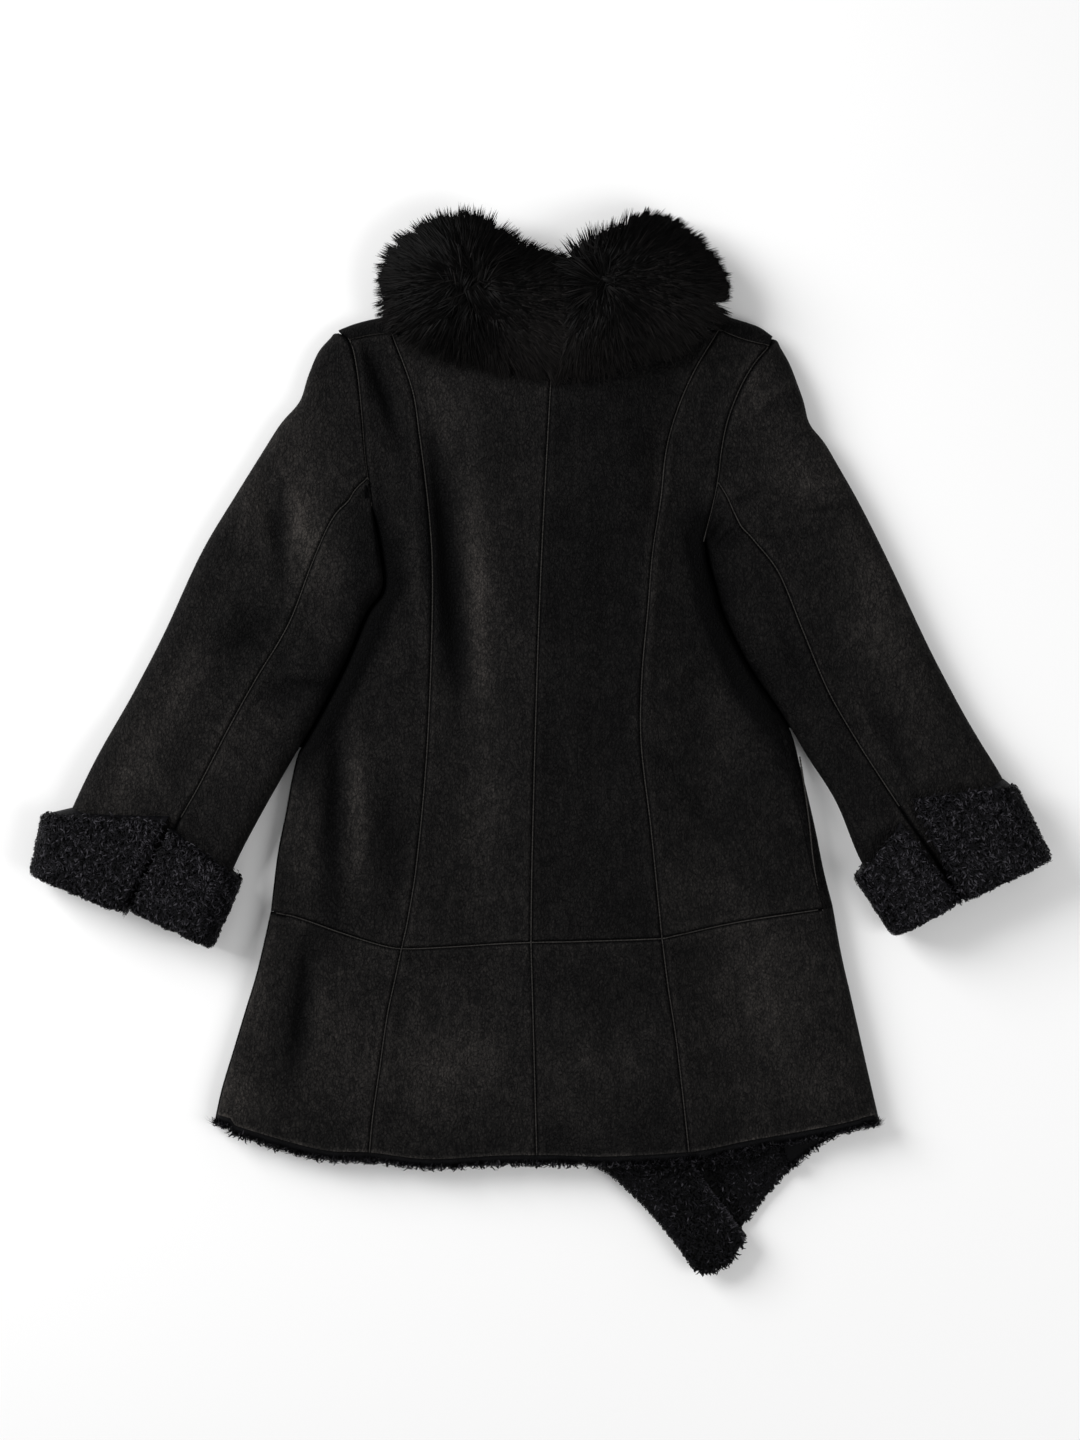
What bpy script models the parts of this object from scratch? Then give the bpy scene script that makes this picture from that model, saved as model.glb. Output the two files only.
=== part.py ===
"""A sheepskin coat laid flat with its back up: every cut piece is a closed wall of shearling.

Tables and working sizes are in millimetres; the meshes are in metres, +Z up, +Y towards the collar.
The underside lies on z = 0. "Left" and "right" are the wearer's, and the back is up, so left is at -X.
"""
import math

import bmesh
import bpy
import numpy as np

MM = 0.001
WALL = 12.0            # suede, hide and wool together
SLIT = 1.2             # air between two walls that lie on each other
BODY = 2 * WALL + SLIT  # front and back together
SEAM = 0.3             # air between two pieces that are sewn edge to edge
ARMHOLE_AIR = 1.8      # air between a sleeve and the body beside it
EDGE_ROLL = 16.0       # how far in from an edge the cloth starts to turn over
SHOULDER_ROLL = 13.0
SLEEVE = 28.0          # height of a sleeve
CUFF_LIFT = WALL + 0.6  # a sleeve's end lies on the cuff that wraps it
CUFF_FOLD = 12.0       # how far the turned-back fold reaches past the sleeve's end
COLLAR_TOP = 78.0
COLLAR_LAP = 0.9       # air between the collar's fur and the back that it lies on
COLLAR_RIM = 6.0       # height of the fur's edge over what the collar lies on
ARMPIT_BLEND = 34.0    # length below the armpit over which the edge comes to turn over
FOLD_END = 0.35        # how much of a fold's rise is left at its ends
CUFF_AIR = 0.5         # air between a sleeve and the cuff round it
CUFF_END_AIR = 0.6     # air between a sleeve's end and the fold of its cuff
# Where cloth climbs over a front's free edge: how far before the edge it starts, and over what length.
LAP_CLIMB = {"back": (112.0, 66.0), "front": (92.0, 58.0)}
LAP_DESCENT = (8.0, 72.0)   # and how the back comes down past the upper front's edge

# Lengthwise lines of the body, from the shoulder or neck down to the hip seam.
PRINCESS_LEFT = [(-150, 413.5), (-129, 356), (-122, 312), (-113, 239), (-109, 180), (-110, 92),
                 (-115, -16), (-125, -122), (-134, -178), (-140, -205)]
CENTRE_BACK = [(11, 394.5), (10, 366), (4, 256), (-1, 151), (-5, 33), (-9, -122), (-10, -198)]
PRINCESS_RIGHT = [(178.5, 416.5), (155, 377), (137, 336), (126, 297), (120, 245), (112, 195),
                  (107, 136), (101, 69), (100, 4), (110, -84), (121, -194)]
FRONT_PRINCESS_RIGHT = [(178.5, 416.5), (158, 330), (149, 244), (146, 140), (149, 44), (160, -80),
                        (179, -190)]
FRONT_EDGE_LEFT = [(46, 395.4), (60, 335), (69, 294), (79, 200), (84, 144), (93, 44), (99, -55),
                   (111, -195)]
FRONT_EDGE_RIGHT = [(-25, 395.8), (-12, 335), (-1, 294), (13, 200), (19, 144), (28, 44), (37, -55),
                    (49, -197)]
# The same lines below the hip seam, down to the ends of the wool at the hem.
LOW_EDGE_LEFT = [(-272.3, -168), (-286, -228), (-298, -268), (-310, -308), (-322, -348), (-329, -380)]
LOW_PRINCESS_LEFT = [(-140, -205), (-145, -229), (-154, -271), (-163, -333), (-169, -375),
                     (-173, -418)]
LOW_CENTRE_BACK = [(-10, -198), (-7, -305), (-4, -421)]
LOW_PRINCESS_RIGHT = [(121, -194), (127, -241), (136, -301), (149, -416)]
LOW_EDGE_RIGHT = [(294, -163.5), (302, -208), (311, -248), (320, -288), (329, -328), (341, -380)]
LOW_FRONT_PRINCESS_RIGHT = [(179, -190), (200, -270), (226, -350), (251, -426)]
LOW_FRONT_EDGE_LEFT = [(111, -195), (119, -305), (131, -375), (151, -418), (177, -455), (207, -494)]
LOW_FRONT_EDGE_RIGHT = [(49, -197), (64, -295), (89, -365), (121, -415), (151, -460), (181, -505)]
# Free sides of the body, from where the sleeve leaves it down to the hip seam.
SIDE_LEFT = [(-252, -40), (-257, -68), (-265, -108), (-270, -148), (-272.3, -168)]
SIDE_RIGHT = [(262, -25), (268, -48), (277, -88), (285, -128), (294, -163.5)]
# Crosswise lines, left to right.
NECK_LEFT = [(-150, 413.5), (-100, 404), (-50, 397.5), (11, 394.5)]
NECK_RIGHT = [(11, 394.5), (60, 396), (120, 404), (178.5, 416.5)]
SHOULDER_LEFT = [(-192.3, 406.5), (-172, 411), (-150, 413.5)]
SHOULDER_RIGHT = [(178.5, 416.5), (203, 407), (229, 400.5)]
SHOULDER_TOP_LEFT = [(-204, 417), (-187, 423.5), (-163, 429.5), (-139, 434)]
SHOULDER_TOP_RIGHT = [(171, 436), (195, 428.5), (219, 420.5), (233.0, 411)]
HIP = [(-272.3, -168), (-248, -172.8), (-201, -189), (-161, -201.5), (-140, -205), (-94, -203.5),
       (-10, -198), (29, -197.2), (121, -194), (131, -191.9), (204.6, -177.2), (281.7, -165.5),
       (294, -163.5)]
HEM_BACK = [(-329, -380), (-316, -388.5), (-266, -404.5), (-216, -416.5), (-173, -418), (-116, -425),
            (-41, -421.5), (-4, -421), (59, -421), (149, -416), (200, -408), (259, -398),
            (300, -390), (341, -380)]
HEM_FRONT_SIDE_LEFT = [(-329, -379), (-290, -393), (-240, -406), (-173, -410)]
HEM_FRONT_CENTRE_LEFT = [(-173, -410), (-61, -413), (19, -415), (59, -421), (111, -467), (143, -507),
                         (162, -530), (189, -521), (207, -494)]
HEM_FRONT_CENTRE_RIGHT = [(181, -505), (201, -490), (215, -467), (251, -426)]
HEM_FRONT_SIDE_RIGHT = [(251, -426), (294, -394), (341, -378)]
# A sleeve's outer edge is fuller at its head and drawn in below it: section, spread, outward.
SLEEVE_HEAD = {"left": ((0.5, 0.35, 4.0), (1.4, 0.3, -6.0)), "right": ((0.5, 0.35, 2.5), (1.5, 0.3, -5.5))}
# How far the right side seam lies inside the body's edge, down the side.
SIDE_SEAM_INSET = [(190, 0.0), (110, 0.6), (52, 4.0), (4, 12.0), (-59, 14.0), (-136, 12.0),
                   (-168, 11.0), (-227, 7.0), (-290, 3.5), (-380, 3.5)]

# Armholes, from the shoulder's edge down to the armpit.
ARMHOLE = {
    "left": [(-205.5, 416), (-192.3, 406.5), (-185, 379), (-180, 333), (-177, 292), (-174, 268),
             (-170, 239)],
    "right": [(235, 410), (229, 400.5), (213, 381), (199, 356), (187, 324), (181, 294), (178, 268),
              (173, 242), (163, 203.5)],
}
# Sections of a sleeve: outer edge x, y; inner edge x, y; place of the back seam between them.
SLEEVES = {
    "left": [
        (-205.5, 416.0, -170, 239.0, 0.84),
        (-235, 370.5, -161, 188.5, 0.642),
        (-269, 312.5, -159, 154.5, 0.546),
        (-305, 254.5, -175, 130.5, 0.584),
        (-342, 192.5, -198, 76.5, 0.619),
        (-379, 112.5, -226, 22.5, 0.588),
        (-410, 52.5, -253, -23.5, 0.590),
        (-443, -7.5, -279, -70.5, 0.603),
        (-470, -63.5, -307, -125.5, 0.587),
        (-491, -113.5, -327, -181.5, 0.575),
    ],
    "right": [
        (235.0, 410.0, 163, 203.5, 0.722),
        (262, 352.5, 168, 184.5, 0.720),
        (289, 298.5, 175, 158.5, 0.666),
        (321, 241.5, 184, 127.5, 0.605),
        (352, 179.5, 209, 77.5, 0.629),
        (389, 100.5, 240, 31.5, 0.678),
        (417, 46.5, 265, -10.5, 0.677),
        (441, 2.5, 294, -57.5, 0.670),
        (463, -34.5, 319, -117.5, 0.617),
        (491, -91.5, 352, -172.5, 0.581),
    ],
}
BODY_LEAVES_SLEEVE = {"left": 5.7, "right": 5.5}   # the section where the two part company
# Corners of a cuff's two pieces seen from above: seam side and far side, first at the top edge and
# then at the fold, with the section of the sleeve where the top edge starts (seam side, far side).
CUFFS = {
    "left": {
        "upper": ((-373, -75.5), (-498, -69.0), (-415, -160.0), (-509, -121.0), (7.55, 8.0)),
        "under": ((-369, -84.5), (-301, -134.0), (-405, -156.0), (-327, -195.0), (7.7, 8.1)),
    },
    "right": {
        "upper": ((370, -54.0), (474, -40.0), (418, -149.0), (508, -108.0), (7.65, 8.0)),
        "under": ((361, -81.0), (315, -132.0), (412, -151.0), (349, -183.0), (7.75, 8.1)),
    },
}
# The collar's outline from above, for its two lobes, from the outer tip to the centre back.
COLLAR = {
    "left": {
        "top": [(-147, 461), (-144, 471.5), (-133, 495.5), (-114, 514.5), (-93, 522.5), (-70, 525),
                (-51, 516.5), (-39, 504.5), (-20, 499), (4, 492), (22, 488.5), (34, 486.5)],
        "bottom": [(-147, 449), (-145, 436.5), (-128.5, 408.5), (-105, 394), (-72, 382.5),
                   (-39, 370), (-1, 366.5), (19, 367.5)],
        "neck": [(-147, 452), (-143, 441), (-134, 436.5), (-131, 415)],
    },
    "right": {
        "top": [(176, 455), (166.5, 471.5), (152, 497.5), (138, 515.5), (117, 528), (98, 529.5),
                (77, 515.5), (56, 500.5), (44, 488.5), (34, 486.5)],
        "bottom": [(176, 444), (171, 434), (150, 412.5), (122, 389.5), (89, 379.5), (41, 370.5),
                   (19, 367.5)],
        "neck": [(176, 447), (174, 442), (165, 437.5), (162, 417)],
    },
}
# The largest folds of the back and sleeves: x, y of both ends, half width, rise (below 0 a trough).
FOLDS = [
    (-101, 274, -79, 94, 16, -4.5),
    (-61, 264, -60, 0, 24, 2.0),
    (-179, 406, -145, 324, 10, -4.0),
    (116, 294, 114, 224, 10, -3.5),
    (-204, 9, -208, -105, 13, -4.5),
    (-175, 4, -169, -155, 18, 2.5),
    (-229, -185, -241, -315, 16, -3.0),
    (-96, -215, -109, -285, 14, -2.0),
    (69, 184, 59, -55, 24, -2.5),
    (181, 98, 208, 33, 15, -4.0),
    (-286, 289, -257, 184, 14, -4.0),
    (-302, 136, -264, 92, 12, -4.0),
    (-290, 58, -240, 44, 8, -3.0),
    (281, 262, 302, 277, 9, -3.0),
    (289, 84, 364, -55, 18, -3.0),
    (167, 198, 190, 233, 7, -3.0),
]

MATERIALS = {
    "suede": ((0.012, 0.011, 0.011), 0.85),
    "wool": ((0.010, 0.010, 0.012), 0.95),
    "fur": ((0.006, 0.006, 0.006), 0.60),
}


def clear_scene():
    for item in list(bpy.data.objects):
        bpy.data.objects.remove(item, do_unlink=True)


def material(name):
    colour, roughness = MATERIALS[name]
    made = bpy.data.materials.get(name) or bpy.data.materials.new(name)
    made.use_nodes = True
    shader = made.node_tree.nodes["Principled BSDF"]
    shader.inputs["Base Color"].default_value = (*colour, 1.0)
    shader.inputs["Roughness"].default_value = roughness
    shader.inputs["Metallic"].default_value = 0.0
    return made


def smooth(value):
    """0 below 0, 1 above 1, and an even S between them."""
    t = min(max(value, 0.0), 1.0)
    return t * t * (3 - 2 * t)


def lerp(a, b, t):
    return a + (b - a) * t


def hermite(knots, values, at):
    """The cubic through values at rising knots, read at one place."""
    i = min(max(int(np.searchsorted(knots, at, side="right")) - 1, 0), len(knots) - 2)
    slopes = []
    for k in (i, i + 1):
        low, high = max(k - 1, 0), min(k + 1, len(knots) - 1)
        slopes.append((values[high] - values[low]) / (knots[high] - knots[low]))
    step = knots[i + 1] - knots[i]
    t = min(max((at - knots[i]) / step, 0.0), 1.0)
    rise = t * t * (3 - 2 * t)
    return (values[i] * (1 - rise) + values[i + 1] * rise
            + step * slopes[0] * t * (1 - t) ** 2 - step * slopes[1] * t * t * (1 - t))


def curve(points):
    """A smooth curve through points, as a function of the fraction of its length."""
    points = np.array(points, float)
    steps = np.linalg.norm(np.diff(points, axis=0), axis=1)
    knots = np.concatenate([[0.0], np.cumsum(steps)]) / steps.sum()
    return lambda t: hermite(knots, points, t)


def table_value(table, y):
    """A table of (y, value) from top to bottom, read at y."""
    rows = sorted(table)
    return float(np.interp(y, [row[0] for row in rows], [row[1] for row in rows]))


def edge_x(upper, lower, y):
    """The x of a front's free edge at y."""
    return table_value([(point[1], point[0]) for point in upper + lower], y)


def segment_distance(x, y, fold):
    """Distance from x, y to a fold's line, and how far from the line's ends that is, from 0 to 1."""
    ax, ay, bx, by = fold[:4]
    run = (bx - ax) ** 2 + (by - ay) ** 2
    t = min(max(((x - ax) * (bx - ax) + (y - ay) * (by - ay)) / run, 0.0), 1.0)
    fade = smooth(4 * t) * smooth(4 * (1 - t))
    return math.hypot(x - lerp(ax, bx, t), y - lerp(ay, by, t)), fade


def relief(x, y):
    """Height that the largest folds add to the upper side."""
    total = 0.0
    for fold in FOLDS:
        distance, fade = segment_distance(x, y, fold)
        half_width, rise = fold[4:]
        total += rise * lerp(FOLD_END, 1.0, fade) * math.exp(-2 * (distance / half_width) ** 2)
    return total


def lap_under_back(x, y):
    """1 where both fronts lie under the back, 0 where only one does."""
    lower_edge = edge_x(FRONT_EDGE_RIGHT, LOW_FRONT_EDGE_RIGHT, y)
    upper_edge = edge_x(FRONT_EDGE_LEFT, LOW_FRONT_EDGE_LEFT, y)
    before, climb = LAP_CLIMB["back"]
    past, descent = LAP_DESCENT
    return smooth((x - lower_edge + before) / climb) * (1 - smooth((x - upper_edge - past) / descent))


def lap_of_front(x, y):
    """1 where the left front lies on the right front, 0 where it lies on the floor."""
    before, climb = LAP_CLIMB["front"]
    return smooth((x - edge_x(FRONT_EDGE_RIGHT, LOW_FRONT_EDGE_RIGHT, y) + before) / climb)


def back_underside(x, y):
    return (WALL + SLIT) * (1 + lap_under_back(x, y))


def back_top(x, y):
    return back_underside(x, y) + WALL + relief(x, y)


def wall(name, outer, inner, material_name):
    """One closed solid between two grids of points with the same rows and columns."""
    rows, columns = len(outer), len(outer[0])
    mesh = bpy.data.meshes.new(name)
    shape = bmesh.new()
    sides = []
    for grid in (outer, inner):
        sides.append([[shape.verts.new([c * MM for c in point]) for point in row] for row in grid])
    top, base = sides
    for i in range(rows - 1):
        for j in range(columns - 1):
            shape.faces.new((top[i][j], top[i + 1][j], top[i + 1][j + 1], top[i][j + 1]))
            shape.faces.new((base[i][j], base[i][j + 1], base[i + 1][j + 1], base[i + 1][j]))
    for i in range(rows - 1):
        shape.faces.new((top[i][0], base[i][0], base[i + 1][0], top[i + 1][0]))
        shape.faces.new((top[i][-1], top[i + 1][-1], base[i + 1][-1], base[i][-1]))
    for j in range(columns - 1):
        shape.faces.new((top[0][j], top[0][j + 1], base[0][j + 1], base[0][j]))
        shape.faces.new((top[-1][j], base[-1][j], base[-1][j + 1], top[-1][j + 1]))
    bmesh.ops.triangulate(shape, faces=shape.faces[:])
    if shape.calc_volume(signed=True) < 0:
        bmesh.ops.reverse_faces(shape, faces=shape.faces[:])
    shape.to_mesh(mesh)
    shape.free()
    mesh.materials.append(material(material_name))
    mesh.shade_smooth()
    mesh.set_sharp_from_angle(angle=math.radians(50))
    piece = bpy.data.objects.new(name, mesh)
    bpy.context.scene.collection.objects.link(piece)
    return piece


# --- Plan of the body -------------------------------------------------------------------------

def sleeve_outer(side, r):
    table = SLEEVES[side]
    edge = hermite(np.arange(len(table)), np.array([row[0:2] for row in table], float), r)
    down = np.array(table[2][0:2], float) - np.array(table[0][0:2], float)
    outward = np.array([down[1], -down[0]] if side == "left" else [-down[1], down[0]])
    outward /= np.linalg.norm(outward)
    swell = sum(out * math.exp(-((r - section) / spread) ** 2)
                for section, spread, out in SLEEVE_HEAD[side])
    return edge + outward * swell * smooth(r / 0.2)


def sleeve_inner(side, r):
    table = SLEEVES[side]
    return hermite(np.arange(len(table)), np.array([row[2:4] for row in table], float), r)


def body_edge(side, free_side):
    """The body's edge above the hip: armhole, then the sleeve's inner edge, then the free side."""
    arm = curve(ARMHOLE[side])
    steps = np.linalg.norm(np.diff(np.array(ARMHOLE[side], float), axis=0), axis=1)
    start = steps[0] / steps.sum()
    points = [arm(lerp(start, 1.0, k / 12)) for k in range(13)]
    last = BODY_LEAVES_SLEEVE[side]
    points += [sleeve_inner(side, last * k / 24) for k in range(1, 25)]
    return curve([tuple(p) for p in points] + free_side)


def coons(left, right, top, bottom):
    """A patch between two lengthwise and two crosswise curves, as point(across, down)."""
    def point(u, t):
        a, b = left(t), right(t)
        upper, lower = top(u), bottom(u)
        across = lerp(a, b, u)
        return (across + (1 - t) * (upper - lerp(top(0), top(1), u))
                + t * (lower - lerp(bottom(0), bottom(1), u)))
    return point


def part_of(table, x_from, x_to):
    """The stretch of a crosswise line between two places, as a curve across."""
    xs, ys = np.array(table, float).T
    return lambda u: np.array([lerp(x_from, x_to, u), hermite(xs, ys, lerp(x_from, x_to, u))])


def seamed(patch):
    """The patch drawn in by half a seam's air on each side."""
    def point(u, t):
        p = patch(u, t)
        return p + np.array([SEAM * 1.2 * (0.5 - u), SEAM * 1.2 * (t - 0.5)])
    return point


def even(count):
    return [k / count for k in range(count + 1)]


# Rows of points down a panel: closer together round the armpit, at 0.3 to 0.45 of its length.
UPPER_ROWS = [0.0, 0.03, 0.065, 0.10, 0.15, 0.20, 0.25, 0.29, 0.32, 0.345, 0.37, 0.395, 0.42,
              0.46, 0.52, 0.59, 0.67, 0.75, 0.83, 0.91, 1.0]
LOWER_ROWS = even(6)
# Columns across the left front: closer together where it climbs on to the right front.
LAPPED_COLUMNS = [0.0, 0.25, 0.42, 0.55, 0.67, 0.78, 0.86, 0.93, 1.0]


def roll_weight(y, side):
    """0 along the armhole, where the sleeve continues the body, and 1 below it."""
    armpit = ARMHOLE[side][-1][1]
    return smooth((armpit - y) / ARMPIT_BLEND)


def side_seam_angle(side, y):
    """Where the side seam lies on the edge's roll: 90 degrees is mid-height, 0 is the top."""
    if side == "left":
        return math.pi / 2
    return math.asin(1 - table_value(SIDE_SEAM_INSET, y) / EDGE_ROLL)


def rolled_edge(share, layer, side, y):
    """Distance in from the edge and height, outside and inside, on the edge's roll.

    share runs from 0 at the side seam to 1 where the cloth lies flat.
    """
    seam_angle = side_seam_angle(side, y)
    full = 0.0 if layer == "back" else math.pi
    angle = lerp(seam_angle, full, share)
    lean = EDGE_ROLL - WALL
    rolled = np.array([
        EDGE_ROLL * (1 - math.sin(angle)), BODY / 2 * (1 + math.cos(angle)),
        WALL + lean * (1 - math.sin(angle)), BODY / 2 + SLIT / 2 * math.cos(angle)])
    reach = EDGE_ROLL * share
    flat = np.array([reach, BODY, reach, BODY - WALL]) if layer == "back" else np.array(
        [reach, 0.0, reach, WALL])
    out = lerp(flat, rolled, roll_weight(y, side))
    sign = 1 if layer == "back" else -1
    air = sign * SEAM * 0.6 * (1 - smooth(4 * share)) * roll_weight(y, side)
    out += air * np.array([math.cos(seam_angle), math.sin(seam_angle)] * 2)
    return out


ROLL_SHARES = [0.0, 0.25, 0.5, 0.75, 1.0]


def side_panel(name, side, layer, patch, inward, rows, columns, top_extra=None):
    """A panel between the body's edge and a princess seam.

    Its roll at the edge runs towards the curve inward, so back and front turn over alike.
    """
    edge_u, seam_u = (0.0, 1.0) if side == "left" else (1.0, 0.0)
    outer, inner = [], []
    for t in rows:
        edge = patch(edge_u, t)
        width = float(np.linalg.norm(patch(seam_u, t) - edge))
        way = inward(t) - edge
        way /= np.linalg.norm(way)
        row_out, row_in = [], []
        for share in ROLL_SHARES:
            d_out, z_out, d_in, z_in = rolled_edge(share, layer, side, edge[1])
            weight = roll_weight(edge[1], side)
            p = lerp(patch(lerp(edge_u, seam_u, d_out / width), t), edge + way * d_out, weight)
            q = lerp(patch(lerp(edge_u, seam_u, d_in / width), t), edge + way * d_in, weight)
            lift = relief(*p) * smooth(share) if layer == "back" else 0.0
            row_out.append((p[0], p[1], z_out + lift))
            row_in.append((q[0], q[1], z_in))
        for k in range(1, columns + 1):
            d = lerp(EDGE_ROLL, width, k / columns)
            p = patch(lerp(edge_u, seam_u, d / width), t)
            if layer == "back":
                row_out.append((p[0], p[1], back_top(*p)))
                row_in.append((p[0], p[1], back_underside(*p)))
            else:
                row_out.append((p[0], p[1], 0.0))
                row_in.append((p[0], p[1], WALL))
        outer.append(row_out)
        inner.append(row_in)
    if top_extra:
        top_extra(outer, inner)
    return wall(name, outer, inner, "suede")


def shoulder_wrap(seam_line, top_line, side):
    """Adds the rows that carry a front over the shoulder's edge to the forward shoulder seam."""
    def extend(outer, inner):
        flat_out, flat_in = outer[0], inner[0]
        count = len(flat_out)
        start = np.array(flat_out[0][:2])
        span = np.array(flat_out[-1][:2]) - start
        extra_out, extra_in = [], []
        for step, angle in enumerate([math.pi * (1 - k / 6) for k in range(7)] + [None]):
            row_out, row_in = [], []
            for j in range(count):
                along = float(np.dot(np.array(flat_out[j][:2]) - start, span) / np.dot(span, span))
                along = along if side == "left" else 1 - along
                foot, tip = seam_line(along), top_line(along)
                reach = float(np.linalg.norm(tip - foot))
                way = (foot - tip) / reach
                roll = min(SHOULDER_ROLL, reach - 2 * SEAM)
                if angle is None:
                    d_out = d_in = reach - SEAM
                    z_out, z_in = BODY, BODY - WALL
                else:
                    d_out = roll * (1 - math.sin(angle))
                    lean = max(roll - WALL, SEAM)
                    d_in = roll - lean * math.sin(angle)
                    z_out = BODY / 2 * (1 + math.cos(angle))
                    z_in = BODY / 2 + SLIT / 2 * math.cos(angle)
                p, q = tip + way * d_out, tip + way * d_in
                row_out.append((p[0], p[1], z_out))
                row_in.append((q[0], q[1], z_in))
            extra_out.insert(0, row_out)
            extra_in.insert(0, row_in)
        outer[:0] = extra_out
        inner[:0] = extra_in
    return extend


def flat_panel(name, patch, rows, columns, outside, inside):
    """A panel that only lies: outside and inside give its two heights at x, y."""
    outer, inner = [], []
    for t in rows:
        plan = [patch(u, t) for u in columns]
        outer.append([(p[0], p[1], outside(*p)) for p in plan])
        inner.append([(p[0], p[1], inside(*p)) for p in plan])
    return wall(name, outer, inner, "suede")


def left_front_floor(x, y):
    """What the left front lies on: the floor, or the right front."""
    return (WALL + SLIT) * lap_of_front(x, y)


def build_back():
    edges = {"left": body_edge("left", SIDE_LEFT), "right": body_edge("right", SIDE_RIGHT)}
    princess_left, centre, princess_right = map(curve, (PRINCESS_LEFT, CENTRE_BACK, PRINCESS_RIGHT))
    low_left, low_pl, low_centre, low_pr, low_right = map(curve, (
        LOW_EDGE_LEFT, LOW_PRINCESS_LEFT, LOW_CENTRE_BACK, LOW_PRINCESS_RIGHT, LOW_EDGE_RIGHT))
    hip = [part_of(HIP, *ends) for ends in ((-272.3, -140), (-140, -10), (-10, 121), (121, 294))]
    hem = [part_of(HEM_BACK, *ends) for ends in ((-329, -173), (-173, -4), (-4, 149), (149, 341))]
    side_panel("back_side_left", "left", "back",
               seamed(coons(edges["left"], princess_left, curve(SHOULDER_LEFT), hip[0])),
               princess_left, UPPER_ROWS, 4)
    side_panel("back_side_right", "right", "back",
               seamed(coons(princess_right, edges["right"], curve(SHOULDER_RIGHT), hip[3])),
               princess_right, UPPER_ROWS, 4)
    side_panel("back_lower_side_left", "left", "back",
               seamed(coons(low_left, low_pl, hip[0], hem[0])), low_pl, LOWER_ROWS, 4)
    side_panel("back_lower_side_right", "right", "back",
               seamed(coons(low_pr, low_right, hip[3], hem[3])), low_pr, LOWER_ROWS, 4)
    for name, patch, rows in (
            ("back_centre_left", coons(princess_left, centre, curve(NECK_LEFT), hip[1]), UPPER_ROWS),
            ("back_centre_right", coons(centre, princess_right, curve(NECK_RIGHT), hip[2]), UPPER_ROWS),
            ("back_lower_centre_left", coons(low_pl, low_centre, hip[1], hem[1]), LOWER_ROWS),
            ("back_lower_centre_right", coons(low_centre, low_pr, hip[2], hem[2]), LOWER_ROWS)):
        flat_panel(name, seamed(patch), rows, even(6), back_top, back_underside)


def build_fronts():
    edges = {"left": body_edge("left", SIDE_LEFT), "right": body_edge("right", SIDE_RIGHT)}
    neck = NECK_LEFT + NECK_RIGHT[1:]
    hip_left, hip_right = part_of(HIP, -272.3, -140), part_of(HIP, 179, 294)
    princess_left, princess_right = curve(PRINCESS_LEFT), curve(FRONT_PRINCESS_RIGHT)
    edge_left, edge_right = curve(FRONT_EDGE_LEFT), curve(FRONT_EDGE_RIGHT)
    low_pl, low_pr = curve(LOW_PRINCESS_LEFT), curve(LOW_FRONT_PRINCESS_RIGHT)
    low_left, low_right = curve(LOW_EDGE_LEFT), curve(LOW_EDGE_RIGHT)
    side_panel("front_side_left", "left", "front",
               seamed(coons(edges["left"], princess_left, curve(SHOULDER_LEFT), hip_left)),
               princess_left, UPPER_ROWS, 3,
               shoulder_wrap(curve(SHOULDER_LEFT), curve(SHOULDER_TOP_LEFT), "left"))
    side_panel("front_side_right", "right", "front",
               seamed(coons(princess_right, edges["right"], curve(SHOULDER_RIGHT), hip_right)),
               curve(PRINCESS_RIGHT), UPPER_ROWS, 3,
               shoulder_wrap(curve(SHOULDER_RIGHT), curve(SHOULDER_TOP_RIGHT), "right"))
    side_panel("front_lower_side_left", "left", "front",
               seamed(coons(low_left, low_pl, hip_left, curve(HEM_FRONT_SIDE_LEFT))),
               low_pl, LOWER_ROWS, 3)
    side_panel("front_lower_side_right", "right", "front",
               seamed(coons(low_pr, low_right, hip_right, curve(HEM_FRONT_SIDE_RIGHT))),
               curve(LOW_PRINCESS_RIGHT), LOWER_ROWS, 3)
    left_centre = coons(princess_left, edge_left, part_of(neck, -150, 46), part_of(HIP, -140, 111))
    left_lower = coons(low_pl, curve(LOW_FRONT_EDGE_LEFT), part_of(HIP, -140, 111),
                       curve(HEM_FRONT_CENTRE_LEFT))
    right_centre = coons(edge_right, princess_right, part_of(neck, -25, 178.5), part_of(HIP, 49, 179))
    right_lower = coons(curve(LOW_FRONT_EDGE_RIGHT), low_pr, part_of(HIP, 49, 179),
                        curve(HEM_FRONT_CENTRE_RIGHT))
    for name, patch, rows in (("front_centre_left", left_centre, UPPER_ROWS),
                              ("front_lower_centre_left", left_lower, LOWER_ROWS)):
        flat_panel(name, seamed(patch), rows, LAPPED_COLUMNS,
                   left_front_floor, lambda x, y: left_front_floor(x, y) + WALL)
    for name, patch, rows in (("front_centre_right", right_centre, UPPER_ROWS),
                              ("front_lower_centre_right", right_lower, LOWER_ROWS)):
        flat_panel(name, seamed(patch), rows, even(4), lambda x, y: 0.0, lambda x, y: WALL)


# --- Sleeves and cuffs ------------------------------------------------------------------------

# Rows of points down a sleeve, as sections of its table; the first stands clear of the armhole.
SLEEVE_ROWS = [0.02, 0.4, 0.8, 1.15, 1.45, 1.8, 2.3, 3.0, 3.8, 4.6, 5.4, 6.1, 6.7, 7.3, 8.0, 8.5, 9.0]
FLAT_COLUMNS = 4
ROLL_STEPS = 6
FOLDS_START, FOLDS_STOP = 0.7, 6.5   # sections between which folds show on a sleeve


def sleeve_plan(side, r, f):
    """The place of the fraction f from a sleeve's outer edge to its inner edge, at section r."""
    straight = lerp(sleeve_outer(side, r), sleeve_inner(side, r), f)
    if r >= 1:
        return straight
    arm = curve(ARMHOLE[side])
    bend = arm(f) - lerp(arm(0), arm(1), f)
    return straight + (1 - r) ** 2 * bend


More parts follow.
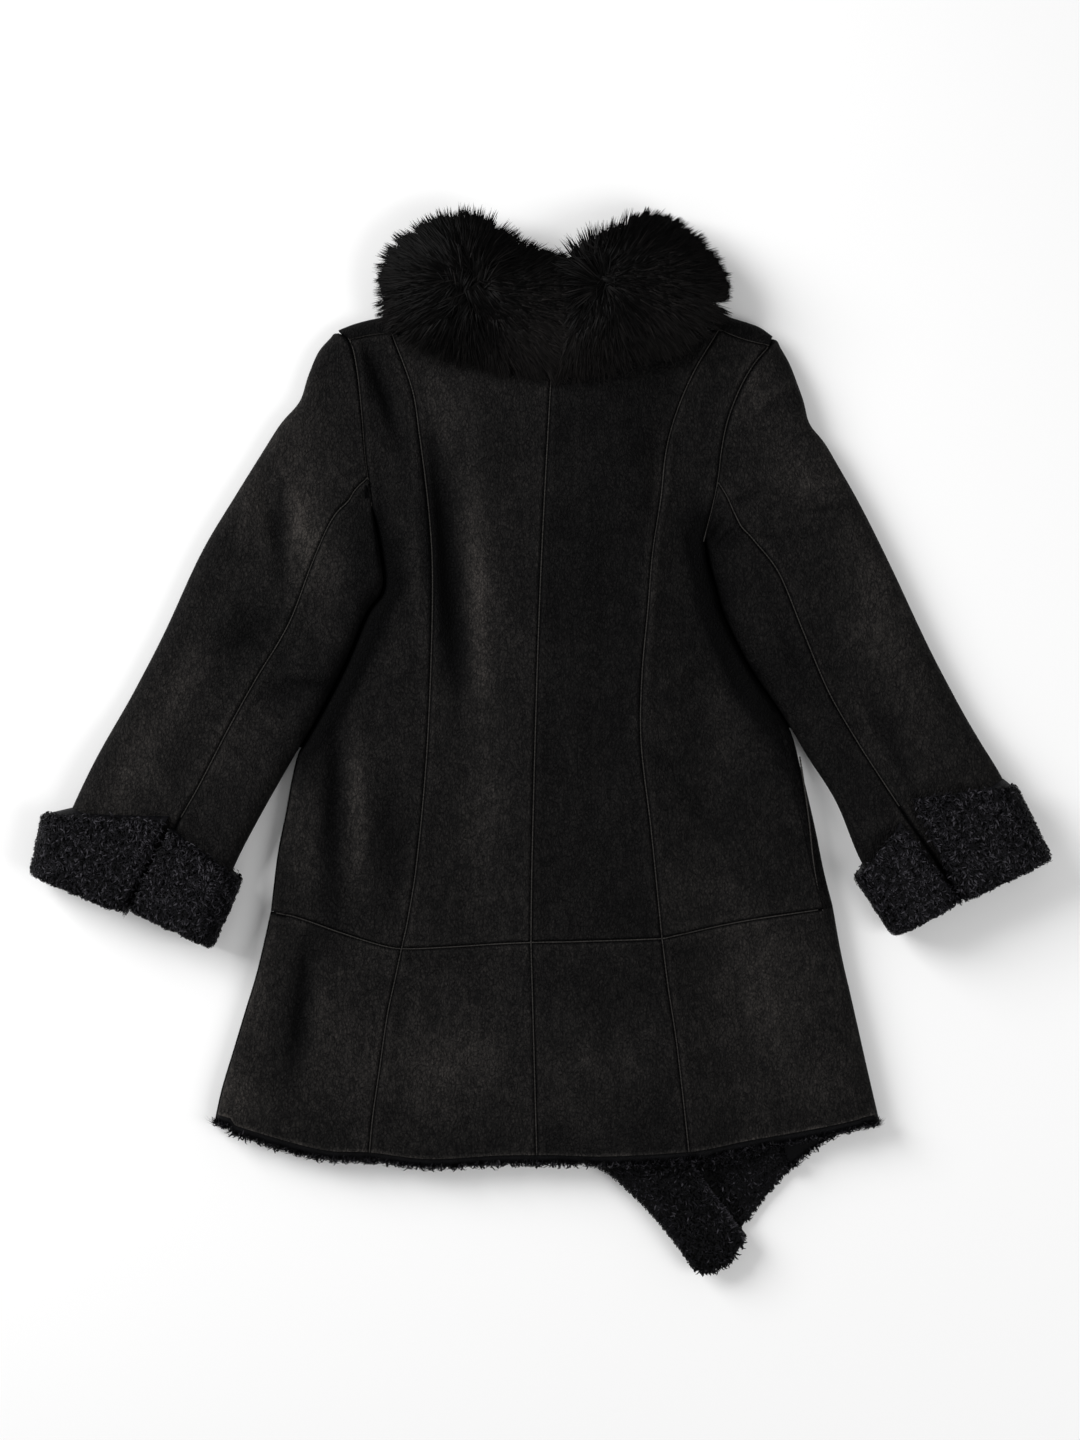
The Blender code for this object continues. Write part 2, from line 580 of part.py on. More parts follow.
def sleeve_width(side, r):
    return float(np.linalg.norm(sleeve_inner(side, r) - sleeve_outer(side, r)))


def sleeve_seam(side, r):
    table = SLEEVES[side]
    return float(hermite(np.arange(len(table)), np.array([row[4] for row in table]), r))


def sleeve_floor(r):
    return CUFF_LIFT * smooth((r - 6.0) / 1.5)


def sleeve_height(r):
    return lerp(BODY, SLEEVE, smooth(r / 2.0)) - 2.0 * smooth((r - 6) / 2)


def path_places(piece):
    """Steps round half a sleeve: from the top seam to the edge's roll and back under to the seam."""
    flat = [("top", k / FLAT_COLUMNS) for k in range(FLAT_COLUMNS)]
    roll = [("roll", math.pi * k / ROLL_STEPS) for k in range(ROLL_STEPS + 1)]
    under = [("under", k / FLAT_COLUMNS) for k in range(FLAT_COLUMNS - 1, -1, -1)]
    return flat + roll + under


def sleeve_point(side, piece, r, place, depth, grow=0.0, seam=None):
    """A point on a sleeve: depth 0 is the outside and 1 the inside; grow moves it outwards."""
    kind, value = place
    width = sleeve_width(side, r)
    seam = sleeve_seam(side, r) if seam is None else seam
    air = SEAM * 0.6 / width
    height, floor = sleeve_height(r), sleeve_floor(r)
    lean = EDGE_ROLL - WALL
    if kind == "roll":
        if depth:
            d = WALL + lean * (1 - math.sin(value))
            z = height / 2 + (height / 2 - WALL) * math.cos(value)
        else:
            d = EDGE_ROLL * (1 - math.sin(value)) - grow * math.sin(value)
            z = height / 2 * (1 + math.cos(value)) + grow * math.cos(value)
    else:
        to_seam = (seam if piece == "upper" else 1 - seam) - air
        d = lerp(to_seam, EDGE_ROLL / width, value) * width
        if kind == "top":
            z = height - WALL if depth else height + grow
        else:
            z = WALL if depth else -grow
    edge_air = 0.0 if piece == "upper" else ARMHOLE_AIR * (1.0 if kind == "roll" else value)
    f = d / width if piece == "upper" else 1 - (d + edge_air) / width
    p = sleeve_plan(side, r, f)
    z += floor
    if not depth and kind != "under":
        fade = 1.0 if kind == "top" else max(math.cos(value), 0.0)
        z += relief(*p) * fade * smooth(r / FOLDS_START) * (1 - smooth((r - FOLDS_STOP) / FOLDS_START))
    return (p[0], p[1], z)


def build_sleeve(side, piece):
    places = path_places(piece)
    outer = [[sleeve_point(side, piece, r, place, 0) for place in places] for r in SLEEVE_ROWS]
    inner = [[sleeve_point(side, piece, r, place, 1) for place in places] for r in SLEEVE_ROWS]
    wall(f"{piece}_sleeve_{side}", outer, inner, "suede")


CUFF_ROWS = [0.0, 0.25, 0.5, 0.75, 1.0]
CUFF_ROLL = 24.0
# The turn of a cuff's fold: degrees, and how far past the sleeve's end its inner side then lies.
CUFF_TURN = [(30, CUFF_END_AIR), (60, 5.0), (90, 9.0)]


def cuff_outside(side, piece, v, place):
    """A point on the cuff's wool, from its top edge, v = 0, to its fold, v = 1."""
    seam_top, far_top, seam_end, far_end, _ = CUFFS[side][piece]
    seam_side = lerp(np.array(seam_top), np.array(seam_end), v)
    far_side = lerp(np.array(far_top), np.array(far_end), v)
    width = float(np.linalg.norm(far_side - seam_side))
    height = CUFF_LIFT + sleeve_height(9.0) + CUFF_LIFT
    kind, value = place
    if kind == "roll":
        d = CUFF_ROLL * (1 - math.sin(value))
        z = height / 2 * (1 + math.cos(value))
    else:
        d = lerp(width - SEAM, CUFF_ROLL, value)
        z = height if kind == "top" else 0.0
    p = lerp(far_side, seam_side, d / width)
    return np.array([p[0], p[1], z])


def build_cuff(side, piece):
    places = path_places(piece)
    seam_start, far_start = CUFFS[side][piece][4]
    end = len(SLEEVES[side]) - 1
    along = sleeve_outer(side, end) - sleeve_outer(side, end - 1)
    step = float(np.linalg.norm(along))
    way = np.array([*(along / step), 0.0])

    def start_of(place):
        kind, value = place
        return far_start if kind == "roll" else lerp(seam_start, far_start, value)

    def slit_edge(v, r):
        """The cuff's edge beside the slit, as a fraction across the sleeve's section."""
        corner = lerp(np.array(CUFFS[side][piece][0]), np.array(CUFFS[side][piece][2]), v)
        start = sleeve_outer(side, r)
        across = sleeve_inner(side, r) - start
        return float(np.dot(corner - start, across) / np.dot(across, across))

    def shell(v, place):
        r = min(lerp(start_of(place), end, v), end)
        point = sleeve_point(side, piece, r, place, 0, grow=CUFF_AIR, seam=slit_edge(v, r))
        return np.array(point) + (way * CUFF_END_AIR if v == 1.0 else 0.0)

    def slit(place, past):
        point = sleeve_point(side, piece, end, place, 1, seam=slit_edge(1.0, end))
        return np.array(point) + way * past

    outer = [[cuff_outside(side, piece, v, place) for place in places] for v in CUFF_ROWS]
    inner = [[shell(v, place) for place in places] for v in CUFF_ROWS]
    for degrees, past in CUFF_TURN:
        turn = math.radians(degrees)
        share = 0.5 * (1 - math.cos(turn))
        outer.append([lerp(cuff_outside(side, piece, 1.0, place), slit(place, 0.0), share)
                      + way * CUFF_FOLD * math.sin(turn) for place in places])
        inner.append([slit(place, past) for place in places])
    wall(f"cuff_{piece}_{side}", outer, inner, "wool")


# --- Collar -----------------------------------------------------------------------------------

def collar_lap(x):
    """1 where the collar lies over both fronts' laps; it spreads wider than the laps themselves."""
    return smooth((x + 168) / 95) * (1 - smooth((x - 50) / 100))


def collar_floor(x):
    return BODY + COLLAR_LAP + (WALL + SLIT) * collar_lap(x)


def collar_swell(u, v):
    """How full the fur is: 0 at the outline, 1 on a lobe's crown, lower at the centre back."""
    across = math.sqrt(max(1 - (2 * v - 1) ** 2, 0.0)) ** 0.9
    tip = math.sqrt(1 - (1 - min(u / 0.42, 1.0)) ** 2)
    dip = 1 - 0.24 * math.exp(-((1 - u) / 0.13) ** 2)
    return across * tip * dip


def neck_line(side):
    """The under collar's edge: round the shoulder's end, then just behind the neckline."""
    xs, ys = np.array(NECK_LEFT + NECK_RIGHT[1:], float).T
    last = COLLAR[side]["neck"][-1][0]
    stops = [lerp(last, 12.0, k / 8) for k in range(1, 9)]
    return COLLAR[side]["neck"] + [(x, float(hermite(xs, ys, x)) + 0.7) for x in stops]


def collar_patch(side, lower_line):
    top, bottom = curve(COLLAR[side]["top"]), curve(lower_line)
    sign = 1 if side == "left" else -1

    def point(u, v):
        p = lerp(top(u), bottom(u), v)
        return p - np.array([sign * SEAM * 0.6 * u, 0.0])
    return point


def build_collar(side):
    us = [0.0, 0.03, 0.08, 0.16, 0.27, 0.4, 0.54, 0.68, 0.8, 0.9, 1.0]
    vs = [0.0, 0.035, 0.11, 0.25, 0.42, 0.58, 0.75, 0.89, 0.965, 1.0]
    above = collar_patch(side, COLLAR[side]["bottom"])
    crown, bed = [], []
    for v in vs:
        plan = [above(u, v) for u in us]
        bed.append([(p[0], p[1], collar_floor(p[0])) for p in plan])
        crown.append([
            (p[0], p[1], lerp(collar_floor(p[0]) + COLLAR_RIM, COLLAR_TOP, collar_swell(u, v)))
            for p, u in zip(plan, us)])
    wall(f"collar_back_{side}", crown, bed, "fur")
    below = collar_patch(side, neck_line(side))
    lid, base = [], []
    for v in vs:
        plan = [below(u, v) for u in us]
        lid.append([(p[0], p[1], collar_floor(p[0]) - 0.5
                     - 6.0 * collar_lap(p[0]) * (1 - collar_lap(p[0]))) for p in plan])
        base.append([
            (p[0], p[1], 8.0 * (1 - smooth(min(v / 0.22, u / 0.16, 1.0)))) for p, u in zip(plan, us)])
    wall(f"collar_front_{side}", lid, base, "fur")


def build():
    clear_scene()
    build_fronts()
    build_back()
    for side in ("left", "right"):
        for piece in ("upper", "under"):
            build_sleeve(side, piece)
            build_cuff(side, piece)
        build_collar(side)


build()
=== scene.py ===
"""The looks of a sheepskin coat laid flat with its back up.

Suede skins with sewn seams and creases, nubby turned-back fleece at the cuffs and fronts, wool at the
hem and a long-haired fur collar. Tables and working sizes are in millimetres; meshes are in metres.
"""

import math

import bpy
import numpy as np
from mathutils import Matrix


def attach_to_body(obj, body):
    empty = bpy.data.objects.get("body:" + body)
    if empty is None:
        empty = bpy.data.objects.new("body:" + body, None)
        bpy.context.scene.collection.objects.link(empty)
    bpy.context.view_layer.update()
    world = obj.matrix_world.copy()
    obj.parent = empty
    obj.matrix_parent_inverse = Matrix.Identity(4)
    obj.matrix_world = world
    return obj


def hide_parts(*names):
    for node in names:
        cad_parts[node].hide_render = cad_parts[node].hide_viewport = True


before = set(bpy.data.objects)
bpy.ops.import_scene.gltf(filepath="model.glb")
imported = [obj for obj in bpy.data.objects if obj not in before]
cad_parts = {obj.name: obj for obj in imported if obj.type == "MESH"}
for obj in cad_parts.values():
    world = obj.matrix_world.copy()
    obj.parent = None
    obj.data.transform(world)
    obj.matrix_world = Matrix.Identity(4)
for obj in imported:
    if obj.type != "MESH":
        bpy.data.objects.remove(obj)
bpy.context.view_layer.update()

MM = 0.001
WALL = 12.0            # suede, hide and wool together
SLIT = 1.2             # air between two walls that lie on each other
BODY = 2 * WALL + SLIT  # front and back together
SEAM = 0.3             # air between two pieces that are sewn edge to edge
ARMHOLE_AIR = 1.8      # air between a sleeve and the body beside it
EDGE_ROLL = 16.0       # how far in from an edge the cloth starts to turn over
SHOULDER_ROLL = 13.0
SLEEVE = 28.0          # height of a sleeve
CUFF_LIFT = WALL + 0.6  # a sleeve's end lies on the cuff that wraps it
CUFF_FOLD = 12.0       # how far the turned-back fold reaches past the sleeve's end
COLLAR_TOP = 78.0
COLLAR_LAP = 0.9       # air between the collar's fur and the back that it lies on
HIDE = 1.8             # the suede hide without its wool
CELL = 4.0             # distance between points on a suede panel
WOOL_CELL = 1.9        # and on fleece
HEM_SHOWS = 9.0        # how far the wool reaches past the suede at the hem
UPPER_LENGTH = 610.0   # of a panel above the hip seam
LOWER_LENGTH = 222.0   # and below it
ARMPIT_BLEND = 34.0    # length below the armpit over which the edge comes to turn over
SLEEVE_SHADOW = 0.55   # how much darker the body is beside a sleeve

# Lengthwise lines of the body, from the shoulder or neck down to the hip seam.
PRINCESS_LEFT = [(-150, 413.5), (-129, 356), (-122, 312), (-113, 239), (-109, 180), (-110, 92),
                 (-115, -16), (-125, -122), (-134, -178), (-140, -205)]
CENTRE_BACK = [(11, 394.5), (10, 366), (4, 256), (-1, 151), (-5, 33), (-9, -122), (-10, -198)]
PRINCESS_RIGHT = [(178.5, 416.5), (155, 377), (137, 336), (126, 297), (120, 245), (112, 195),
                  (107, 136), (101, 69), (100, 4), (110, -84), (121, -194)]
FRONT_PRINCESS_RIGHT = [(178.5, 416.5), (158, 330), (149, 244), (146, 140), (149, 44), (160, -80),
                        (179, -190)]
FRONT_EDGE_LEFT = [(46, 395.4), (60, 335), (69, 294), (79, 200), (84, 144), (93, 44), (99, -55),
                   (111, -195)]
FRONT_EDGE_RIGHT = [(-25, 395.8), (-12, 335), (-1, 294), (13, 200), (19, 144), (28, 44), (37, -55),
                    (49, -197)]
# The same lines below the hip seam, down to the ends of the wool at the hem.
LOW_EDGE_LEFT = [(-272.3, -168), (-286, -228), (-298, -268), (-310, -308), (-322, -348), (-329, -380)]
LOW_PRINCESS_LEFT = [(-140, -205), (-145, -229), (-154, -271), (-163, -333), (-169, -375),
                     (-173, -418)]
LOW_CENTRE_BACK = [(-10, -198), (-7, -305), (-4, -421)]
LOW_PRINCESS_RIGHT = [(121, -194), (127, -241), (136, -301), (149, -416)]
LOW_EDGE_RIGHT = [(294, -163.5), (302, -208), (311, -248), (320, -288), (329, -328), (341, -380)]
LOW_FRONT_PRINCESS_RIGHT = [(179, -190), (200, -270), (226, -350), (251, -426)]
LOW_FRONT_EDGE_LEFT = [(111, -195), (119, -305), (131, -375), (151, -418), (177, -455), (207, -494)]
LOW_FRONT_EDGE_RIGHT = [(49, -197), (64, -295), (89, -365), (121, -415), (151, -460), (181, -505)]
# Free sides of the body, from where the sleeve leaves it down to the hip seam.
SIDE_LEFT = [(-252, -40), (-257, -68), (-265, -108), (-270, -148), (-272.3, -168)]
SIDE_RIGHT = [(262, -25), (268, -48), (277, -88), (285, -128), (294, -163.5)]
FREE_SIDE = {"left": SIDE_LEFT, "right": SIDE_RIGHT}
# Crosswise lines, left to right.
NECK_LEFT = [(-150, 413.5), (-100, 404), (-50, 397.5), (11, 394.5)]
NECK_RIGHT = [(11, 394.5), (60, 396), (120, 404), (178.5, 416.5)]
NECK = NECK_LEFT + NECK_RIGHT[1:]
SHOULDER_LEFT = [(-192.3, 406.5), (-172, 411), (-150, 413.5)]
SHOULDER_RIGHT = [(178.5, 416.5), (203, 407), (229, 400.5)]
SHOULDER_TOP_LEFT = [(-204, 417), (-187, 423.5), (-163, 429.5), (-139, 434)]
SHOULDER_TOP_RIGHT = [(171, 436), (195, 428.5), (219, 420.5), (233.0, 411)]
SHOULDER = {"left": (SHOULDER_LEFT, SHOULDER_TOP_LEFT), "right": (SHOULDER_RIGHT, SHOULDER_TOP_RIGHT)}
HIP = [(-272.3, -168), (-248, -172.8), (-201, -189), (-161, -201.5), (-140, -205), (-94, -203.5),
       (-10, -198), (29, -197.2), (121, -194), (131, -191.9), (204.6, -177.2), (281.7, -165.5),
       (294, -163.5)]
HEM_BACK = [(-329, -380), (-316, -388.5), (-266, -404.5), (-216, -416.5), (-173, -418), (-116, -425),
            (-41, -421.5), (-4, -421), (59, -421), (149, -416), (200, -408), (259, -398),
            (300, -390), (341, -380)]
HEM_FRONT_SIDE_LEFT = [(-329, -379), (-290, -393), (-240, -406), (-173, -410)]
HEM_FRONT_CENTRE_LEFT = [(-173, -410), (-61, -413), (19, -415), (59, -421), (111, -467), (143, -507),
                         (162, -530), (189, -521), (207, -494)]
HEM_FRONT_CENTRE_RIGHT = [(181, -505), (201, -490), (215, -467), (251, -426)]
HEM_FRONT_SIDE_RIGHT = [(251, -426), (294, -394), (341, -378)]
# A sleeve's outer edge is fuller at its head and drawn in below it: outward, section, spread.
SLEEVE_HEAD = {"left": ((4.0, 0.5, 0.35), (-6.0, 1.4, 0.3)), "right": ((2.5, 0.5, 0.35), (-5.5, 1.5, 0.3))}
# Beside a seam, its groove and its ridge: height or change of tone, distance from the seam, width. The
# groove's darker tone is painted shade; the ridge's lighter tone is rubbed nap.
SEAM_FORM = ((-1.9, 0.0, 1.6), (0.9, 5.0, 3.2))
SEAM_SHADE_AND_WEAR = ((-0.55, 0.0, 1.5), (0.07, 4.5, 3.0))
CUT_EDGE_TONE = ((0.35, 0.0, 1.6),)   # the cut edge of a hide is lighter than its nap
# Where the cloth rises beside a front's free edge, or sinks again: from the edge, and over this length.
BACK_RISES, BACK_SINKS, FRONT_RISES = (-112, 66), (8, 72), (-92, 58)
# How far the right side seam lies inside the body's edge, down the side.
SIDE_SEAM_INSET = [(190, 0.0), (110, 0.6), (52, 4.0), (4, 12.0), (-59, 14.0), (-136, 12.0),
                   (-168, 11.0), (-227, 7.0), (-290, 3.5), (-380, 3.5)]

# Armholes, from the shoulder's edge down to the armpit.
ARMHOLE = {
    "left": [(-205.5, 416), (-192.3, 406.5), (-185, 379), (-180, 333), (-177, 292), (-174, 268),
             (-170, 239)],
    "right": [(235, 410), (229, 400.5), (213, 381), (199, 356), (187, 324), (181, 294), (178, 268),
              (173, 242), (163, 203.5)],
}
# Sections of a sleeve: outer edge x, y; inner edge x, y; place of the back seam between them.
SLEEVES = {
    "left": [
        (-205.5, 416.0, -170, 239.0, 0.84),
        (-235, 370.5, -161, 188.5, 0.642),
        (-269, 312.5, -159, 154.5, 0.546),
        (-305, 254.5, -175, 130.5, 0.584),
        (-342, 192.5, -198, 76.5, 0.619),
        (-379, 112.5, -226, 22.5, 0.588),
        (-410, 52.5, -253, -23.5, 0.590),
        (-443, -7.5, -279, -70.5, 0.603),
        (-470, -63.5, -307, -125.5, 0.587),
        (-491, -113.5, -327, -181.5, 0.575),
    ],
    "right": [
        (235.0, 410.0, 163, 203.5, 0.722),
        (262, 352.5, 168, 184.5, 0.720),
        (289, 298.5, 175, 158.5, 0.666),
        (321, 241.5, 184, 127.5, 0.605),
        (352, 179.5, 209, 77.5, 0.629),
        (389, 100.5, 240, 31.5, 0.678),
        (417, 46.5, 265, -10.5, 0.677),
        (441, 2.5, 294, -57.5, 0.670),
        (463, -34.5, 319, -117.5, 0.617),
        (491, -91.5, 352, -172.5, 0.581),
    ],
}
BODY_LEAVES_SLEEVE = {"left": 5.7, "right": 5.5}   # the section where the two part company
# Corners of a cuff's two pieces seen from above: seam side and far side, first at the top edge and
# then at the fold, with the section of the sleeve where the top edge starts (seam side, far side).
CUFFS = {
    "left": {
        "upper": ((-373, -75.5), (-498, -69.0), (-415, -160.0), (-509, -121.0), (7.55, 8.0)),
        "under": ((-369, -84.5), (-301, -134.0), (-405, -156.0), (-327, -195.0), (7.7, 8.1)),
    },
    "right": {
        "upper": ((370, -54.0), (474, -40.0), (418, -149.0), (508, -108.0), (7.65, 8.0)),
        "under": ((361, -81.0), (315, -132.0), (412, -151.0), (349, -183.0), (7.75, 8.1)),
    },
}
# The collar's outline from above, for its two lobes, from the outer tip to the centre back.
COLLAR = {
    "left": {
        "top": [(-147, 461), (-144, 471.5), (-133, 495.5), (-114, 514.5), (-93, 522.5), (-70, 525),
                (-51, 516.5), (-39, 504.5), (-20, 499), (4, 492), (22, 488.5), (34, 486.5)],
        "bottom": [(-147, 449), (-145, 436.5), (-128.5, 408.5), (-105, 394), (-72, 382.5),
                   (-39, 370), (-1, 366.5), (19, 367.5)],
        "neck": [(-147, 452), (-143, 441), (-134, 436.5), (-131, 415)],
    },
    "right": {
        "top": [(176, 455), (166.5, 471.5), (152, 497.5), (138, 515.5), (117, 528), (98, 529.5),
                (77, 515.5), (56, 500.5), (44, 488.5), (34, 486.5)],
        "bottom": [(176, 444), (171, 434), (150, 412.5), (122, 389.5), (89, 379.5), (41, 370.5),
                   (19, 367.5)],
        "neck": [(176, 447), (174, 442), (165, 437.5), (162, 417)],
    },
}
# The largest folds of the back and sleeves: x, y of both ends, half width, rise (below 0 a trough).
FOLDS = [
    (-101, 274, -79, 94, 16, -4.5),
    (-61, 264, -60, 0, 24, 2.0),
    (-179, 406, -145, 324, 10, -4.0),
    (116, 294, 114, 224, 10, -3.5),
    (-204, 9, -208, -105, 13, -4.5),
    (-175, 4, -169, -155, 18, 2.5),
    (-229, -185, -241, -315, 16, -3.0),
    (-96, -215, -109, -285, 14, -2.0),
    (69, 184, 59, -55, 24, -2.5),
    (181, 98, 208, 33, 15, -4.0),
    (-286, 289, -257, 184, 14, -4.0),
    (-302, 136, -264, 92, 12, -4.0),
    (-290, 58, -240, 44, 8, -3.0),
    (281, 262, 302, 277, 9, -3.0),
    (289, 84, 364, -55, 18, -3.0),
    (167, 198, 190, 233, 7, -3.0),
]
# Finer creases of the suede, as the largest folds are: ends, half width, rise (below 0 a trough).
CREASE_PAINTED_SHADING = 0.085   # how much a millimetre of a crease's rise lightens the colour: painted light on the ridges and painted shade in the troughs
CREASES = [
    (-106, 305, -82, 50, 12, -2.6),
    (-128, 330, -118, 60, 9, 1.6),
    (-70, 300, -58, 20, 15, 1.8),
    (-172, 400, -142, 300, 9, -2.2),
    (-206, 40, -210, -130, 10, -2.2),
    (-184, 0, -180, -150, 12, 2.0),
    (-236, -190, -247, -320, 9, -1.8),
    (-216, -200, -226, -330, 12, 1.4),
    (112, 230, 106, 60, 9, 1.2),
    (104, 4, 176, -84, 9, -1.3),
    (112, 50, 158, 92, 8, 1.1),
    (30, 30, 34, -120, 6, 0.7),
    (52, -220, 66, -330, 10, -0.9),
    (-38, -240, -52, -360, 12, 0.9),
    (196, -230, 214, -350, 7, -0.8),
    (226, -225, 250, -360, 8, 0.8),
    (-140, -240, -146, -330, 8, -0.8),
    (-261, 65, -212, 57, 3.6, -2.0),
    (-258, 74, -220, 68, 5.0, 1.2),
    (-293, 25, -261, -2, 3.6, -2.0),
    (-286, 34, -256, 8, 5.0, 1.2),
    (-310, -2, -276, -33, 3.6, -1.8),
    (-330, -30, -300, -52, 5.0, -1.0),
    (-272, 250, -262, 190, 8, -1.6),
    (-250, 262, -236, 200, 11, 1.6),
    (-232, 140, -190, 118, 6, -1.2),
    (-330, 90, -290, 108, 9, -1.2),
    (-390, -20, -360, -80, 9, 1.1),
    (214, 209, 252, 208, 3.6, -1.6),
    (188, 242, 229, 256, 3.2, -1.5),
    (204, 226, 240, 232, 4.0, 1.0),
    (261, 233, 316, 239, 3.6, -1.4),
    (255, 262, 300, 262, 5.0, 1.0),
    (173, 195, 196, 221, 2.6, -1.6),
    (226, 352, 256, 366, 8, 1.6),
    (222, 330, 250, 350, 6, -1.6),
    (330, 40, 392, -80, 9.0, -1.6),
    (306, 60, 350, -30, 9.0, 1.2),
    (232, 130, 262, 70, 8.0, -1.2),
]
# Patches of nap rubbed lighter, and patches of painted shade where the tone is darker, in folds and beside
# the sleeves: x, y, half width across and down, turn, change of tone.
NAP_AND_PAINTED_SHADE = [
    (-188, 78, 13, 70, -28, -0.50),
    (-163, 220, 7, 34, 0, -0.34),
    (-92, 130, 12, 70, 6, -0.22),
    (176, 120, 9, 60, 16, -0.34),
    (204, 50, 8, 40, 26, -0.34),
    (166, 214, 9, 20, 20, -0.34),
    (-150, -100, 9, 60, 0, -0.14),
    (60, -320, 50, 70, 0, 0.12),
    (230, -270, 70, 110, 0, 0.10),
    (-100, -300, 60, 90, 0, 0.10),
    (340, 110, 30, 60, 24, 0.10),
    (-103, 195, 16, 95, 8, -0.50),
    (-163, 355, 14, 48, 22, -0.24),
    (-208, -72, 11, 85, 0, -0.30),
    (-241, -270, 13, 70, -12, -0.24),
    (-262, 215, 8, 45, 0, -0.30),
    (-300, 110, 30, 26, 0, -0.16),
    (-238, 60, 40, 14, 10, -0.16),
    (68, 180, 44, 70, 0, -0.10),
    (-178, 180, 14, 70, 0, -0.16),
    (172, 160, 16, 60, 12, -0.36),
    (214, 60, 14, 60, 24, -0.26),
    (190, 208, 22, 12, 20, -0.20),
    (-100, 335, 16, 40, 4, 0.14),
    (-62, 170, 16, 130, 3, 0.16),
    (-60, -60, 26, 110, 0, 0.16),
    (-186, -70, 15, 90, 0, 0.20),
    (-240, -110, 12, 60, 0, 0.18),
    (-238, 225, 24, 70, -6, 0.22),
    (-262, 318, 40, 50, 0, 0.20),
    (-290, 250, 30, 50, 30, 0.18),
    (-215, 165, 22, 46, 0, 0.18),
    (-300, 0, 34, 50, -24, 0.20),
    (-360, 60, 22, 70, -26, 0.24),
    (-415, -40, 24, 60, -24, 0.22),
    (-305, -350, 26, 30, 0, 0.26),
    (-282, -240, 14, 60, -8, 0.18),
    (-205, -310, 30, 60, 0, 0.10),
    (-100, -315, 66, 60, 0, 0.16),
    (10, -330, 44, 46, 0, 0.08),
    (112, 210, 9, 70, -3, 0.14),
    (158, -140, 50, 34, 0, 0.14),
    (215, -240, 55, 60, 0, 0.16),
    (275, -340, 40, 40, 0, 0.12),
    (200, 20, 30, 60, 0, 0.06),
    (215, 352, 24, 30, 0, 0.22),
    (270, 270, 34, 40, -20, 0.22),
    (322, 180, 30, 70, 24, 0.14),
    (385, 20, 26, 70, 24, 0.12),
]
PANEL_TONE = {
    "back_side_left": 0.50, "back_centre_left": 0.52, "back_centre_right": 0.40, "back_side_right": 0.48,
    "back_lower_side_left": 0.56, "back_lower_centre_left": 0.50, "back_lower_centre_right": 0.46,
    "back_lower_side_right": 0.52, "front_side_left": 0.30, "front_side_right": 0.30,
    "front_lower_side_left": 0.48, "front_lower_side_right": 0.48, "front_centre_left": 0.48,
    "front_lower_centre_left": 0.48, "front_centre_right": 0.48, "front_lower_centre_right": 0.48,
    "upper_sleeve_left": 0.52, "under_sleeve_left": 0.46, "upper_sleeve_right": 0.52,
    "under_sleeve_right": 0.46,
}


# --- Curves and grids -------------------------------------------------------------------------

def smooth(value):
    """0 below 0, 1 above 1, and an even S between them."""
    t = np.clip(value, 0.0, 1.0)
    return t * t * (3 - 2 * t)


def lerp(a, b, t):
    return a + (b - a) * t


def bells(at, table):
    """The sum of a table's bells at a place: rows are height, centre and width."""
    return sum(height * np.exp(-((at - centre) / width) ** 2) for height, centre, width in table)


def unit(vectors):
    """The same directions, each one long."""
    return vectors / np.maximum(np.linalg.norm(vectors, axis=-1, keepdims=True), 1e-9)


def between(points, at):
    """Places on a row of points, at whole numbers on the points themselves."""
    k = at.astype(int)
    return lerp(points[k], points[k + 1], (at % 1)[:, None])


def hermite(knots, values, at):
    """The cubic through values at rising knots, read at an array of places."""
    knots, values, at = (np.asarray(item, float) for item in (knots, values, at))
    i = np.clip(np.searchsorted(knots, at, side="right") - 1, 0, len(knots) - 2)
    low = np.maximum(np.arange(len(knots)) - 1, 0)
    high = np.minimum(np.arange(len(knots)) + 1, len(knots) - 1)
    spans = knots[high] - knots[low]
    step = knots[i + 1] - knots[i]
    t = np.clip((at - knots[i]) / step, 0.0, 1.0)
    if values.ndim > 1:
        spans, step, t = spans[:, None], step[..., None], t[..., None]
    slopes = (values[high] - values[low]) / spans
    rise = t * t * (3 - 2 * t)
    return (values[i] * (1 - rise) + values[i + 1] * rise
            + step * slopes[i] * t * (1 - t) ** 2 - step * slopes[i + 1] * t * t * (1 - t))


def curve(points):
    """A smooth curve through points, as a function of the fraction of its length."""
    points = np.array(points, float)
    steps = np.linalg.norm(np.diff(points, axis=0), axis=1)
    knots = np.concatenate([[0.0], np.cumsum(steps)]) / steps.sum()
    return lambda t: hermite(knots, points, t)


def table_value(table, y):
    """A table of (y, value) from top to bottom, read at y."""
    rows = sorted(table)
    return np.interp(y, [row[0] for row in rows], [row[1] for row in rows])


def edge_x(upper, lower, y):
    """The x of a front's free edge at y."""
    return table_value([(point[1], point[0]) for point in upper + lower], y)


def coons(left, right, top, bottom):
    """A patch between two lengthwise and two crosswise curves, as point(across, down)."""
    def point(u, t):
        u, t = np.broadcast_arrays(np.asarray(u, float), np.asarray(t, float))
        a, b = left(t), right(t)
        u2, t2 = u[..., None], t[..., None]
        return (lerp(a, b, u2) + (1 - t2) * (top(u) - lerp(top(0.0), top(1.0), u2))
                + t2 * (bottom(u) - lerp(bottom(0.0), bottom(1.0), u2)))
    return point


def part_of(table, x_from, x_to):
    """The stretch of a crosswise line between two places, as a curve."""
    xs, ys = np.array(table, float).T

    def point(u):
        x = lerp(x_from, x_to, np.asarray(u, float))
        return np.stack([x, hermite(xs, ys, x)], axis=-1)
    return point


def stretches(table, lines, end=0):
    """The stretches of a crosswise line between the lengthwise lines that start, or end, on it."""
    stops = [line[end][0] for line in lines]
    return [part_of(table, *ends) for ends in zip(stops, stops[1:])]


